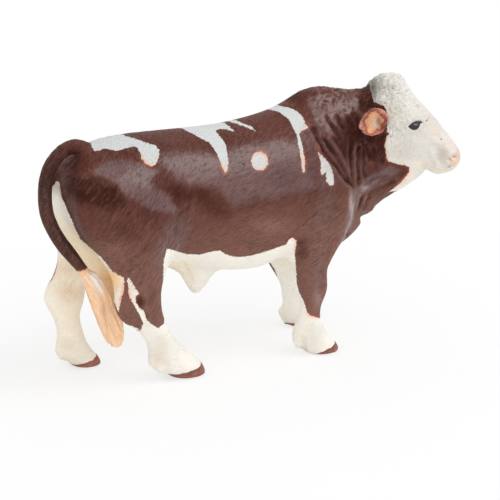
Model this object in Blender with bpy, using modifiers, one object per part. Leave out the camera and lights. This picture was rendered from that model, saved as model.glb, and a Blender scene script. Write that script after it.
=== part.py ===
"""Toy farm bull, cast in nine plastic mouldings that plug together.

The figure stands on its four soles, nose towards +X, its left side towards +Y, with its
origin on the ground under the middle of its outline. The trunk, neck and legs are one
sculpt, laid up from lofts and muscle pads that are fused and rounded, then parted at the
mould seams. Each leg plugs up into the trunk, the head sits in a cup at the end of the
neck, the ears sit in pockets of the head, and the tail's root dives into the rump.
"""

import math

import bmesh
import bpy
from mathutils import Matrix, Vector

MM = 0.001

# Driving sizes of the standing animal. Places are shares of these three.
BODY_LENGTH = 100 * MM
BODY_HEIGHT = 80 * MM
BODY_WIDTH = 40 * MM

# The head has its own frame: along the face, across the cheeks, out of the forehead
HEAD_LENGTH = 38.2 * MM
HEAD_WIDTH = 17 * MM
HEAD_DEPTH = 25.4 * MM
HEAD_PITCH = math.radians(38.5)
HEAD_TURN = math.radians(-37)
HEAD_PLACE_SHARES = (0.52, -0.225, 0.956)

# The ear is a cup on the side of the head, drawn out to a blunt tip
EAR_LENGTH = 10.6 * MM
EAR_BREADTH = 9.4 * MM
EAR_DEPTH = 5.8 * MM
EAR_SINK = 0.8 * MM
EAR_PLACE_SHARES = (0.035, 0.47, -0.055)
EAR_ROLL = math.radians(-35)
EAR_SWEEP = math.radians(8)
EAR_TIP_SHARE = 0.12
EAR_RAKE_SHARE = 0.35

# Eyes stand out of the head a little, nostrils are dimples in the muzzle
EYE_LENGTH = 4.4 * MM
EYE_HEIGHT = 3 * MM
EYE_THICKNESS = 2.6 * MM
EYE_TILT = math.radians(-56)
EYE_PLACE_SHARES = (0.288, 0.425, 0.21)
NOSTRIL_LENGTH = 2.4 * MM
NOSTRIL_HEIGHT = 1.3 * MM
NOSTRIL_DEPTH = 2 * MM
NOSTRIL_PLACE_SHARES = (0.745, 0.3, 0.15)

# The tail's thickness, and which way the broad side of its switch faces
TAIL_THICKNESS = 4.4 * MM
TAIL_FLAT_TURN = math.radians(-32)

# The plugs that join the mouldings, and the fit round them
LEG_PLUG_RADIUS = 2.4 * MM
LEG_PLUG_LENGTH = 6 * MM
HEAD_PLUG_RADIUS = 4 * MM
HEAD_PLUG_LENGTH = 15 * MM
HEAD_PLUG_AIM_SHARES = (-0.22, 0.225, -0.2)
EAR_PLUG_RADIUS = 1.1 * MM
EAR_PLUG_LENGTH = 3 * MM
SEAM_GAP = 0.3 * MM
SEAM_MARGIN = 1 * MM
FORE_SEAM_SHARE = 0.35
HIND_SEAM_SHARE = 0.355

# The cleft between the two toes of a hoof
CLEFT_WIDTH = 0.8 * MM
CLEFT_DEPTH = 3.6 * MM
CLEFT_HEIGHT = 4.5 * MM

# How finely the sculpt is meshed, and how far its creases are rounded
TRUNK_GRAIN = 3.2 * MM
LEG_GRAIN = 2 * MM
HEAD_GRAIN = 2 * MM
TRUNK_BLEND_RADIUS = 3.2 * MM
LEG_BLEND_RADIUS = 2 * MM
HEAD_BLEND_RADIUS = 1.8 * MM
OVERRUN = 20 * MM

RING_POINTS = 28
ROW_STEPS = 4
TAIL_RING_POINTS = 12
TAIL_ROW_STEPS = 2
PLUG_SIDES = 16
PAD_SEGMENTS = 12
PAD_RINGS = 8
EAR_RING_POINTS = 20

BROWN = (0.16, 0.055, 0.04, 1)
WHITE = (0.8, 0.8, 0.77, 1)
CREAM = (0.87, 0.8, 0.68, 1)
SHARP_ANGLE = math.radians(35)
GLOSS_ROUGHNESS = 0.38
MATT_ROUGHNESS = 0.55

# Lengthwise rows: along, top, bottom, middle across, half width, widest height in the section
TRUNK_ROW_SHARES = (
    (-0.585, 0.82, 0.66, 0.0, 0.12, 0.5),
    (-0.56, 0.86, 0.6, 0.0, 0.24, 0.5),
    (-0.52, 0.905, 0.55, 0.0, 0.34, 0.5),
    (-0.47, 0.94, 0.5, 0.0, 0.41, 0.5),
    (-0.42, 0.95, 0.46, 0.0, 0.46, 0.5),
    (-0.34, 0.955, 0.42, 0.0, 0.5, 0.5),
    (-0.25, 0.955, 0.412, 0.0, 0.505, 0.5),
    (-0.12, 0.955, 0.388, 0.0, 0.5, 0.44),
    (0.0, 0.96, 0.376, 0.0, 0.5, 0.42),
    (0.12, 0.98, 0.384, 0.0, 0.505, 0.42),
    (0.2, 1.005, 0.402, 0.0, 0.5, 0.42),
    (0.28, 1.04, 0.4, 0.0, 0.46, 0.42),
    (0.36, 1.055, 0.43, 0.0, 0.4, 0.42),
    (0.44, 1.03, 0.48, 0.0, 0.3, 0.44),
    (0.48, 0.97, 0.56, 0.0, 0.16, 0.46),
)
NECK_ROW_SHARES = (
    (0.27, 1.0, 0.5, 0.0, 0.3, 0.5),
    (0.34, 1.05, 0.48, -0.01, 0.335, 0.5),
    (0.4, 1.05, 0.5, -0.04, 0.33, 0.5),
    (0.45, 1.04, 0.53, -0.09, 0.305, 0.5),
    (0.49, 1.04, 0.565, -0.15, 0.28, 0.5),
    (0.525, 1.03, 0.605, -0.215, 0.255, 0.5),
    (0.55, 1.01, 0.65, -0.26, 0.22, 0.5),
    (0.57, 0.96, 0.71, -0.3, 0.15, 0.5),
)

# Upright rows: up, rear, front, middle across, half width
RIGHT_HIND_ROW_SHARES = (
    (0.86, -0.56, -0.28, -0.22, 0.18),
    (0.79, -0.6, -0.25, -0.27, 0.22),
    (0.7, -0.598, -0.24, -0.31, 0.24),
    (0.62, -0.575, -0.25, -0.33, 0.24),
    (0.55, -0.543, -0.28, -0.34, 0.225),
    (0.49, -0.512, -0.31, -0.345, 0.2),
    (0.43, -0.488, -0.32, -0.345, 0.175),
    (0.375, -0.486, -0.328, -0.335, 0.155),
    (0.325, -0.484, -0.33, -0.33, 0.14),
    (0.286, -0.474, -0.322, -0.325, 0.13),
    (0.255, -0.45, -0.314, -0.32, 0.12),
    (0.225, -0.413, -0.307, -0.315, 0.11),
    (0.175, -0.38, -0.282, -0.305, 0.11),
    (0.125, -0.365, -0.243, -0.295, 0.125),
    (0.08, -0.366, -0.206, -0.288, 0.14),
    (0.05, -0.355, -0.182, -0.28, 0.15),
    (0.022, -0.305, -0.168, -0.28, 0.15),
    (-0.03, -0.265, -0.16, -0.28, 0.145),
)
LEFT_HIND_ROW_SHARES = (
    (0.86, -0.56, -0.28, 0.22, 0.18),
    (0.79, -0.595, -0.26, 0.27, 0.22),
    (0.7, -0.602, -0.27, 0.3, 0.24),
    (0.62, -0.59, -0.3, 0.32, 0.235),
    (0.55, -0.562, -0.34, 0.33, 0.21),
    (0.48, -0.545, -0.38, 0.335, 0.185),
    (0.4, -0.557, -0.43, 0.335, 0.155),
    (0.35, -0.584, -0.454, 0.335, 0.135),
    (0.307, -0.603, -0.458, 0.335, 0.13),
    (0.265, -0.592, -0.465, 0.335, 0.12),
    (0.225, -0.573, -0.48, 0.335, 0.11),
    (0.175, -0.56, -0.476, 0.337, 0.11),
    (0.125, -0.558, -0.466, 0.34, 0.12),
    (0.08, -0.562, -0.45, 0.345, 0.135),
    (0.05, -0.552, -0.432, 0.35, 0.145),
    (0.022, -0.52, -0.412, 0.355, 0.145),
    (-0.03, -0.49, -0.402, 0.355, 0.14),
)
RIGHT_FORE_ROW_SHARES = (
    (0.65, 0.16, 0.4, -0.32, 0.17),
    (0.56, 0.16, 0.385, -0.345, 0.175),
    (0.48, 0.167, 0.345, -0.35, 0.17),
    (0.424, 0.173, 0.315, -0.35, 0.16),
    (0.348, 0.17, 0.278, -0.35, 0.135),
    (0.29, 0.175, 0.283, -0.35, 0.135),
    (0.252, 0.188, 0.278, -0.35, 0.125),
    (0.219, 0.185, 0.264, -0.352, 0.11),
    (0.175, 0.18, 0.252, -0.355, 0.105),
    (0.144, 0.176, 0.252, -0.36, 0.11),
    (0.098, 0.154, 0.27, -0.365, 0.13),
    (0.054, 0.154, 0.294, -0.37, 0.145),
    (0.022, 0.19, 0.322, -0.375, 0.15),
    (-0.03, 0.22, 0.328, -0.375, 0.145),
)
LEFT_FORE_ROW_SHARES = (
    (0.65, 0.18, 0.4, 0.32, 0.17),
    (0.56, 0.19, 0.4, 0.335, 0.175),
    (0.48, 0.2, 0.39, 0.33, 0.17),
    (0.424, 0.21, 0.37, 0.325, 0.155),
    (0.348, 0.218, 0.345, 0.32, 0.135),
    (0.29, 0.235, 0.35, 0.315, 0.135),
    (0.252, 0.255, 0.35, 0.31, 0.125),
    (0.219, 0.272, 0.35, 0.305, 0.11),
    (0.175, 0.284, 0.353, 0.3, 0.105),
    (0.144, 0.286, 0.356, 0.3, 0.105),
    (0.098, 0.278, 0.37, 0.3, 0.13),
    (0.054, 0.278, 0.384, 0.3, 0.145),
    (0.022, 0.305, 0.4, 0.3, 0.15),
    (-0.03, 0.325, 0.405, 0.3, 0.145),
)
SHEATH_ROW_SHARES = (
    (0.45, -0.24, 0.05, 0.0, 0.12),
    (0.39, -0.21, -0.02, 0.0, 0.11),
    (0.345, -0.183, -0.07, 0.0, 0.1),
    (0.305, -0.166, -0.09, 0.0, 0.095),
    (0.275, -0.157, -0.098, 0.0, 0.085),
    (0.253, -0.15, -0.105, 0.0, 0.07),
)
SCROTUM_ROW_SHARES = (
    (0.56, -0.5, -0.36, 0.01, 0.13),
    (0.48, -0.49, -0.37, 0.01, 0.12),
    (0.41, -0.482, -0.375, 0.01, 0.12),
    (0.36, -0.475, -0.375, 0.01, 0.12),
    (0.325, -0.465, -0.382, 0.01, 0.11),
    (0.3, -0.452, -0.395, 0.01, 0.08),
)
DEWLAP_ROW_SHARES = (
    (0.78, 0.54, 0.725, -0.4, 0.1),
    (0.72, 0.5, 0.7, -0.36, 0.11),
    (0.68, 0.47, 0.675, -0.33, 0.115),
    (0.64, 0.43, 0.643, -0.27, 0.115),
    (0.605, 0.4, 0.602, -0.2, 0.11),
    (0.57, 0.375, 0.565, -0.14, 0.11),
    (0.53, 0.34, 0.548, -0.09, 0.115),
    (0.5, 0.32, 0.53, -0.06, 0.12),
    (0.46, 0.31, 0.502, -0.05, 0.13),
    (0.43, 0.31, 0.476, -0.05, 0.12),
    (0.405, 0.33, 0.45, -0.05, 0.1),
    (0.385, 0.37, 0.43, -0.05, 0.06),
)

# Muscle pads, each on both sides: along, across, up, and the half sizes along, across and up
MUSCLE_SHARES = (
    (0.26, 0.3, 0.72, 0.11, 0.19, 0.22),
    (0.3, 0.33, 0.55, 0.09, 0.17, 0.12),
    (-0.4, 0.3, 0.68, 0.16, 0.25, 0.2),
    (-0.3, 0.32, 0.83, 0.08, 0.12, 0.06),
    (-0.5, 0.16, 0.82, 0.05, 0.12, 0.08),
    (0.0, 0.24, 0.57, 0.24, 0.29, 0.19),
)
CREST_SHARES = (
    (0.34, 0.0, 0.975, 0.13, 0.17, 0.105),
    (0.47, -0.08, 0.96, 0.1, 0.17, 0.1),
    (0.4, -0.03, 0.53, 0.09, 0.24, 0.11),
)

# Head rows: along the face, forehead, jaw, half width, widest height in the section
HEAD_ROW_SHARES = (
    (-0.22, 0.29, -0.02, 0.2, 0.5),
    (-0.165, 0.39, -0.2, 0.31, 0.5),
    (-0.08, 0.47, -0.37, 0.41, 0.5),
    (0.055, 0.485, -0.455, 0.47, 0.5),
    (0.2, 0.455, -0.47, 0.49, 0.52),
    (0.33, 0.435, -0.425, 0.45, 0.55),
    (0.44, 0.412, -0.325, 0.39, 0.55),
    (0.555, 0.375, -0.215, 0.325, 0.55),
    (0.665, 0.34, -0.15, 0.305, 0.5),
    (0.75, 0.305, -0.115, 0.305, 0.5),
    (0.805, 0.235, -0.065, 0.26, 0.5),
    (0.832, 0.13, 0.025, 0.15, 0.5),
)
# Pads of the head: along, across, out, and half sizes; those off the middle are on both sides
HEAD_PAD_SHARES = (
    (-0.06, 0.0, 0.4, 0.155, 0.4, 0.135),
    (0.16, 0.33, -0.25, 0.19, 0.2, 0.2),
    (0.28, 0.36, 0.22, 0.085, 0.13, 0.1),
    (0.735, 0.0, 0.1, 0.11, 0.34, 0.205),
    (0.73, 0.2, 0.15, 0.075, 0.14, 0.1),
    (0.67, 0.0, -0.1, 0.11, 0.22, 0.09),
)

# Tail and its switch: along, across, up, and the breadth and thickness of the section there
TAIL_ROW_SHARES = (
    (-0.445, 0.0, 0.835, 0.9, 0.9),
    (-0.475, 0.0, 0.885, 1.0, 1.0),
    (-0.51, 0.0, 0.918, 1.1, 1.1),
    (-0.55, 0.0, 0.93, 1.08, 1.08),
    (-0.597, 0.0, 0.896, 1.0, 1.0),
    (-0.625, -0.012, 0.855, 1.0, 1.0),
    (-0.64, -0.025, 0.81, 1.0, 1.0),
    (-0.647, -0.037, 0.754, 1.0, 1.0),
    (-0.646, -0.05, 0.695, 1.0, 1.0),
    (-0.633, -0.07, 0.637, 1.0, 1.0),
    (-0.614, -0.09, 0.587, 1.0, 1.0),
    (-0.59, -0.11, 0.54, 1.0, 1.0),
    (-0.567, -0.127, 0.495, 0.95, 0.95),
    (-0.555, -0.132, 0.468, 0.95, 0.9),
    (-0.53, -0.135, 0.428, 1.4, 1.0),
    (-0.507, -0.138, 0.366, 1.8, 1.05),
    (-0.49, -0.14, 0.305, 1.92, 1.05),
    (-0.476, -0.14, 0.262, 2.1, 1.0),
    (-0.465, -0.14, 0.221, 2.0, 0.92),
    (-0.456, -0.14, 0.181, 1.64, 0.75),
    (-0.448, -0.14, 0.155, 1.2, 0.55),
    (-0.446, -0.14, 0.139, 0.6, 0.3),
)

# Ear, from the head outwards to the rim, and from there down into its hollow: depth and breadth
EAR_BACK_ROW_SHARES = (
    (-0.5, 0.3),
    (-0.44, 0.58),
    (-0.25, 0.84),
    (0.05, 0.98),
    (0.32, 1.0),
    (0.46, 0.95),
    (0.5, 0.86),
)
EAR_HOLLOW_ROW_SHARES = (
    (0.4, 0.76),
    (0.15, 0.68),
    (-0.1, 0.52),
    (-0.22, 0.25),
)

LEG_TABLES = {
    "hind_right_leg": RIGHT_HIND_ROW_SHARES,
    "hind_left_leg": LEFT_HIND_ROW_SHARES,
    "front_right_leg": RIGHT_FORE_ROW_SHARES,
    "front_left_leg": LEFT_FORE_ROW_SHARES,
}


def body_point(along, across, up):
    """Place on the animal from shares of its length, width and height."""
    return Vector((along * BODY_LENGTH, across * BODY_WIDTH, up * BODY_HEIGHT))


def head_point(along, across, out):
    """Place in the head's own frame from shares of its length, width and depth."""
    return Vector((along * HEAD_LENGTH, across * HEAD_WIDTH, out * HEAD_DEPTH))


def spline_value(before, here, there, after, t):
    """Value between here and there on a smooth curve through all four."""
    slope_in, slope_out = (there - before) / 2, (after - here) / 2
    rise = there - here
    bend = 3 * rise - 2 * slope_in - slope_out
    twist = slope_in + slope_out - 2 * rise
    return here + t * (slope_in + t * (bend + t * twist))


def smooth_rows(rows, row_steps=ROW_STEPS):
    """The rows, with more between them on a smooth curve."""
    dense = []
    last = len(rows) - 1
    for index in range(last):
        four = (rows[max(index - 1, 0)], rows[index], rows[index + 1], rows[min(index + 2, last)])
        for step in range(row_steps):
            dense.append(tuple(spline_value(*values, step / row_steps) for values in zip(*four)))
    dense.append(tuple(rows[last]))
    return dense


def row_near(rows, up):
    """The upright row nearest to one height."""
    return min(smooth_rows(rows), key=lambda row: abs(row[0] - up))


def oval(half_width, top, bottom, widest):
    """Points of an oval section as across and up, widest at a share of its height."""
    waist = bottom + (top - bottom) * widest
    points = []
    for index in range(RING_POINTS):
        angle = math.tau * index / RING_POINTS
        lift = math.sin(angle)
        reach = top - waist if lift > 0 else waist - bottom
        points.append((half_width * math.cos(angle), waist + reach * lift))
    return points


def trunk_ring(row, heading):
    """Section across the trunk or neck, square to its heading seen from above."""
    along, top, bottom, middle, half_width, widest = row
    side = Vector((-heading.y, heading.x, 0)).normalized()
    ring = []
    for across, up in oval(half_width, top, bottom, widest):
        ring.append(body_point(along, middle, up) + side * across * BODY_WIDTH)
    return ring


def headings(centres):
    """Direction of a line of points at each of them."""
    last = len(centres) - 1
    return [(centres[min(i + 1, last)] - centres[max(i - 1, 0)]).normalized() for i in range(last + 1)]


def trunk_rings(rows):
    """Sections of a lengthwise form, turned as it bends."""
    dense = smooth_rows(rows)
    centres = [body_point(row[0], row[3], 0) for row in dense]
    return [trunk_ring(row, heading) for row, heading in zip(dense, headings(centres))]


def head_ring(row):
    """Section across the face."""
    along, top, bottom, half_width, widest = row
    return [head_point(along, across, out) for across, out in oval(half_width, top, bottom, widest)]


def upright_ring(row):
    """Level section through a leg or another hanging form."""
    up, rear, front, middle, half_width = row
    centre, half_length = (rear + front) / 2, (front - rear) / 2
    ring = []
    for index in range(RING_POINTS):
        angle = math.tau * index / RING_POINTS
        along, across = centre + half_length * math.cos(angle), middle + half_width * math.sin(angle)
        ring.append(body_point(along, across, up))
    return ring


def tail_ring(row, heading):
    """Section across the tail, its broad side turned out."""
    along, across, up, breadth, thickness = row
    flat = Vector((math.cos(TAIL_FLAT_TURN), math.sin(TAIL_FLAT_TURN), 0))
    side = (flat - heading * flat.dot(heading)).normalized()
    out = heading.cross(side)
    ring = []
    for index in range(TAIL_RING_POINTS):
        angle = math.tau * index / TAIL_RING_POINTS
        reach = side * breadth * math.cos(angle) + out * thickness * math.sin(angle)
        ring.append(body_point(along, across, up) + reach * TAIL_THICKNESS / 2)
    return ring


def add_loft(mesh, rings):
    """Closes a skin over rings of equal count, for sections that differ."""
    loops = [[mesh.verts.new(point) for point in ring] for ring in rings]
    made = [mesh.faces.new(loops[0]), mesh.faces.new(loops[-1])]
    for low, high in zip(loops, loops[1:]):
        for index in range(len(low)):
            after = (index + 1) % len(low)
            made.append(mesh.faces.new((low[index], low[after], high[after], high[index])))
    bmesh.ops.recalc_face_normals(mesh, faces=made)


def add_pad(mesh, centre, half_sizes, turn=Matrix.Identity(4)):
    """An ellipsoid of the sculpt."""
    place = Matrix.Translation(centre) @ turn @ Matrix.Diagonal((*half_sizes, 1))
    bmesh.ops.create_uvsphere(mesh, u_segments=PAD_SEGMENTS, v_segments=PAD_RINGS, radius=1, matrix=place)


def collection(name):
    """A collection of the scene, made when first asked for."""
    found = bpy.data.collections.get(name)
    if found is None:
        found = bpy.data.collections.new(name)
        bpy.context.scene.collection.children.link(found)
    return found


def new_object(name, mesh, group="toy_bull"):
    """An object that holds what this bmesh holds."""
    data = bpy.data.meshes.new(name)
    mesh.to_mesh(data)
    mesh.free()
    made = bpy.data.objects.new(name, data)
    collection(group).objects.link(made)
    return made


def new_cutter(name, mesh):
    """A tool that Booleans use and that is not part of the figure."""
    cutter = new_object(name, mesh, "toy_bull_cutters")
    cutter.hide_render = True
    cutter.display_type = "WIRE"
    return cutter


def apply_modifiers(target):
    """Replaces the object's mesh by what its modifiers make of it."""
    bpy.context.view_layer.update()
    shape = bpy.data.meshes.new_from_object(target.evaluated_get(bpy.context.evaluated_depsgraph_get()))
    target.modifiers.clear()
    target.data = shape


def fuse(name, mesh, grain, blend_radius):
    """Fuses overlapping forms into one skin and rounds the creases between them."""
    fused = new_object(name, mesh)
    remesh = fused.modifiers.new("fuse", "REMESH")
    remesh.mode = "VOXEL"
    remesh.voxel_size = grain
    smooth = fused.modifiers.new("round", "SMOOTH")
    smooth.factor = 0.5
    smooth.iterations = max(1, round((blend_radius / grain) ** 2))
    apply_modifiers(fused)
    return fused


def combine(target, tool, operation, solver="EXACT"):
    """One Boolean, applied at once; the tool is used up."""
    boolean = target.modifiers.new("combine", "BOOLEAN")
    boolean.operation = operation
    boolean.solver = solver
    boolean.object = tool
    apply_modifiers(target)
    bpy.data.objects.remove(tool)


def drop_slivers(target):
    """Keeps only the largest of the pieces that the cuts leave."""
    mesh = bmesh.new()
    mesh.from_mesh(target.data)
    pieces = []
    unseen = set(mesh.verts)
    while unseen:
        piece, edge_of_piece = set(), [unseen.pop()]
        while edge_of_piece:
            vertex = edge_of_piece.pop()
            piece.add(vertex)
            beyond = {edge.other_vert(vertex) for edge in vertex.link_edges} & unseen
            unseen -= beyond
            edge_of_piece.extend(beyond)
        pieces.append(piece)
    largest = max(pieces, key=len)
    loose = [vertex for vertex in mesh.verts if vertex not in largest]
    bmesh.ops.delete(mesh, geom=loose, context="VERTS")
    mesh.to_mesh(target.data)
    mesh.free()


def swollen(form):
    """A cutter of the form's shape, larger all round by the seam's gap."""
    mesh = bmesh.new()
    mesh.from_mesh(form.data)
    cutter = new_cutter("swollen_form", mesh)
    swell = cutter.modifiers.new("swell", "DISPLACE")
    swell.mid_level = 0
    swell.strength = SEAM_GAP
    apply_modifiers(cutter)
    return cutter


def bar(base, direction, radius, length):
    """A round bar from base along direction."""
    mesh = bmesh.new()
    turn = direction.to_track_quat("Z", "Y").to_matrix().to_4x4()
    place = Matrix.Translation(base + direction.normalized() * length / 2) @ turn
    bmesh.ops.create_cone(
        mesh, cap_ends=True, segments=PLUG_SIDES, radius1=radius, radius2=radius, depth=length, matrix=place
    )
    return new_cutter("bar", mesh)


def plug_in(owner, holder, base, direction, radius, length):
    """Gives the owner a round plug and the holder its socket, with the gap round it."""
    combine(owner, bar(base, direction, radius, length), "UNION")
    combine(holder, bar(base, direction, radius + SEAM_GAP, length + SEAM_GAP), "DIFFERENCE")


def block(low, high):
    """A square-cornered cutter between two corners."""
    mesh = bmesh.new()
    place = Matrix.Translation((low + high) / 2) @ Matrix.Diagonal((*(high - low), 1))
    bmesh.ops.create_cube(mesh, size=1, matrix=place)
    return new_cutter("block", mesh)


def cut_flat(target, height, keep_above):
    """Cuts the object level at one height and closes it with one flat face."""
    mesh = bmesh.new()
    mesh.from_mesh(target.data)
    geometry = mesh.verts[:] + mesh.edges[:] + mesh.faces[:]
    cut = bmesh.ops.bisect_plane(
        mesh,
        geom=geometry,
        plane_co=Vector((0, 0, height)),
        plane_no=Vector((0, 0, 1)),
        clear_inner=keep_above,
        clear_outer=not keep_above,
    )
    rim = [edge for edge in cut["geom_cut"] if isinstance(edge, bmesh.types.BMEdge)]
    bmesh.ops.edgeloop_fill(mesh, edges=rim)
    bmesh.ops.recalc_face_normals(mesh, faces=mesh.faces)
    mesh.to_mesh(target.data)
    mesh.free()


def make_torso():
    """Trunk, neck and the roots of the legs in one fused sculpt."""
    mesh = bmesh.new()
    for rows in (TRUNK_ROW_SHARES, NECK_ROW_SHARES):
        add_loft(mesh, trunk_rings(rows))
    for rows in (*LEG_TABLES.values(), SHEATH_ROW_SHARES, SCROTUM_ROW_SHARES, DEWLAP_ROW_SHARES):
        add_loft(mesh, [upright_ring(row) for row in smooth_rows(rows)])
    for along, across, up, *half_shares in MUSCLE_SHARES:
        add_pad(mesh, body_point(along, across, up), body_point(*half_shares))
        add_pad(mesh, body_point(along, -across, up), body_point(*half_shares))
    for along, across, up, *half_shares in CREST_SHARES:
        add_pad(mesh, body_point(along, across, up), body_point(*half_shares))
    return fuse("torso", mesh, TRUNK_GRAIN, TRUNK_BLEND_RADIUS)


def make_leg(name, torso):
    """One leg below its seam, with its plug; the torso loses what the leg stands for."""
    rows = LEG_TABLES[name]
    seam_share = FORE_SEAM_SHARE if name.startswith("front") else HIND_SEAM_SHARE
    seam = seam_share * BODY_HEIGHT
    mesh = bmesh.new()
    add_loft(mesh, [upright_ring(row) for row in smooth_rows(rows)])
    leg = fuse(name, mesh, LEG_GRAIN, LEG_BLEND_RADIUS)
    cut_flat(leg, 0, keep_above=True)
    cut_flat(leg, seam, keep_above=False)

    toe = row_near(rows, 0)
    toe_tip = body_point(toe[2], toe[3], 0)
    cleft_low = toe_tip + Vector((-CLEFT_DEPTH, -CLEFT_WIDTH / 2, -OVERRUN))
    cleft_high = toe_tip + Vector((OVERRUN, CLEFT_WIDTH / 2, CLEFT_HEIGHT))
    combine(leg, block(cleft_low, cleft_high), "DIFFERENCE")

    lower = [row for row in rows if row[0] < seam_share]
    low = body_point(min(row[1] for row in lower), min(row[3] - row[4] for row in lower), 0)
    high = body_point(max(row[2] for row in lower), max(row[3] + row[4] for row in lower), 0)
    margin = Vector((SEAM_MARGIN, SEAM_MARGIN, 0))
    below, above = Vector((0, 0, -OVERRUN)), Vector((0, 0, seam + SEAM_GAP))
    combine(torso, block(low - margin + below, high + margin + above), "DIFFERENCE")

    knee = row_near(rows, seam_share)
    base = body_point((knee[1] + knee[2]) / 2, knee[3], 0) + Vector((0, 0, seam - LEG_PLUG_LENGTH / 2))
    plug_in(leg, torso, base, Vector((0, 0, 1)), LEG_PLUG_RADIUS, LEG_PLUG_LENGTH * 3 / 2)
    return leg


def head_matrix():
    """From the head's own frame to the animal's."""
    turn = Matrix.Rotation(HEAD_TURN, 4, "Z") @ Matrix.Rotation(HEAD_PITCH, 4, "Y")
    return Matrix.Translation(body_point(*HEAD_PLACE_SHARES)) @ turn


def add_face(head):
    """Eyes and nostrils on both sides of the head."""
    eye = Vector((EYE_LENGTH, EYE_THICKNESS, EYE_HEIGHT)) / 2
    nostril = Vector((NOSTRIL_LENGTH, NOSTRIL_DEPTH, NOSTRIL_HEIGHT)) / 2
    tilt = Matrix.Rotation(EYE_TILT, 4, "Y")
    for place, half_sizes, operation in (
        (EYE_PLACE_SHARES, eye, "UNION"),
        (NOSTRIL_PLACE_SHARES, nostril, "DIFFERENCE"),
    ):
        along, across, out = place
        for side in (-1, 1):
            mesh = bmesh.new()
            add_pad(mesh, head_point(along, side * across, out), half_sizes, tilt)
            bmesh.ops.transform(mesh, matrix=head_matrix(), verts=mesh.verts)
            combine(head, new_cutter("face_form", mesh), operation)


def make_head():
    """The head with its face, and a cutter that is as much larger as the room it needs."""
    mesh = bmesh.new()
    add_loft(mesh, [head_ring(row) for row in smooth_rows(HEAD_ROW_SHARES)])
    for along, across, out, *half_shares in HEAD_PAD_SHARES:
        for side in (-1, 1) if across else (1,):
            add_pad(mesh, head_point(along, side * across, out), head_point(*half_shares))
    bmesh.ops.transform(mesh, matrix=head_matrix(), verts=mesh.verts)
    head = fuse("head", mesh, HEAD_GRAIN, HEAD_BLEND_RADIUS)
    room = swollen(head)
    add_face(head)
    return head, room


def seat_head(head, torso, room):
    """Hollows the end of the neck into a cup that the head sits in, with its plug."""
    combine(torso, room, "DIFFERENCE", "MANIFOLD")
    plug_in(
        head,
        torso,
        body_point(*HEAD_PLACE_SHARES),
        body_point(*HEAD_PLUG_AIM_SHARES),
        HEAD_PLUG_RADIUS,
        HEAD_PLUG_LENGTH,
    )


def ear_ring(row, side):
    """Section across the ear's cup, drawn out towards its tip."""
    depth_share, breadth_share = row
    ring = []
    for index in range(EAR_RING_POINTS):
        angle = math.tau * index / EAR_RING_POINTS
        reach = breadth_share * (1 + EAR_TIP_SHARE * math.cos(angle)) / 2
        along = reach * EAR_LENGTH * math.cos(angle)
        out = reach * EAR_BREADTH * math.sin(angle)
        depth = (depth_share + 1 / 2) * (1 + EAR_RAKE_SHARE * math.cos(angle))
        ring.append(Vector((-along, side * EAR_DEPTH * depth, out)))
    return ring


def make_ear(name, side, head, room):
    """An ear cup on the given side, with its plug; head and neck make room for its back."""
    along, across, out = EAR_PLACE_SHARES
    seat = head_point(along, side * across, out) - Vector((0, side * EAR_SINK, 0))
    turn = Matrix.Rotation(side * EAR_SWEEP, 4, "Z") @ Matrix.Rotation(EAR_ROLL, 4, "Y")
    place = head_matrix() @ Matrix.Translation(seat) @ turn
    forms = []
    for rows in (EAR_BACK_ROW_SHARES, EAR_BACK_ROW_SHARES + EAR_HOLLOW_ROW_SHARES):
        mesh = bmesh.new()
        add_loft(mesh, [ear_ring(row, side) for row in rows])
        bmesh.ops.transform(mesh, matrix=place, verts=mesh.verts)
        forms.append(mesh)
    back, ear = new_cutter("ear_back", forms[0]), new_object(name, forms[1])
    combine(head, swollen(back), "DIFFERENCE")
    combine(room, swollen(back), "UNION")
    bpy.data.objects.remove(back)
    inward = place.to_3x3() @ Vector((0, -side, 0))
    base = place @ Vector((0, side * EAR_SINK, 0))
    plug_in(ear, head, base, inward, EAR_PLUG_RADIUS, EAR_PLUG_LENGTH + EAR_SINK)
    return ear


def make_tail(torso):
    """The tail and its switch in one loft along the bend; its root dives into the rump."""
    rows = smooth_rows(TAIL_ROW_SHARES, TAIL_ROW_STEPS)
    directions = headings([body_point(*row[:3]) for row in rows])
    mesh = bmesh.new()
    add_loft(mesh, [tail_ring(row, heading) for row, heading in zip(rows, directions)])
    tail = new_object("tail", mesh)
    combine(torso, swollen(tail), "DIFFERENCE")
    return tail


def paint(target, colour, roughness):
    """The object's own plastic, shaded smooth."""
    material = bpy.data.materials.new(target.name + "_plastic")
    material.use_nodes = True
    surface = material.node_tree.nodes["Principled BSDF"]
    surface.inputs["Base Color"].default_value = colour
    surface.inputs["Roughness"].default_value = roughness
    surface.inputs["Metallic"].default_value = 0
    target.data.materials.clear()
    target.data.materials.append(material)
    target.data.shade_smooth()
    target.data.set_sharp_from_angle(angle=SHARP_ANGLE)


def stand_on_origin(parts):
    """Moves the whole figure so that the middle of its outline is over the origin."""
    corners = [vertex.co for part in parts for vertex in part.data.vertices]
    low = Vector(min(corner[axis] for corner in corners) for axis in range(3))
    high = Vector(max(corner[axis] for corner in corners) for axis in range(3))
    middle = (low + high) / 2
    for part in parts:
        part.data.transform(Matrix.Translation((-middle.x, -middle.y, -low.z)))


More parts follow.
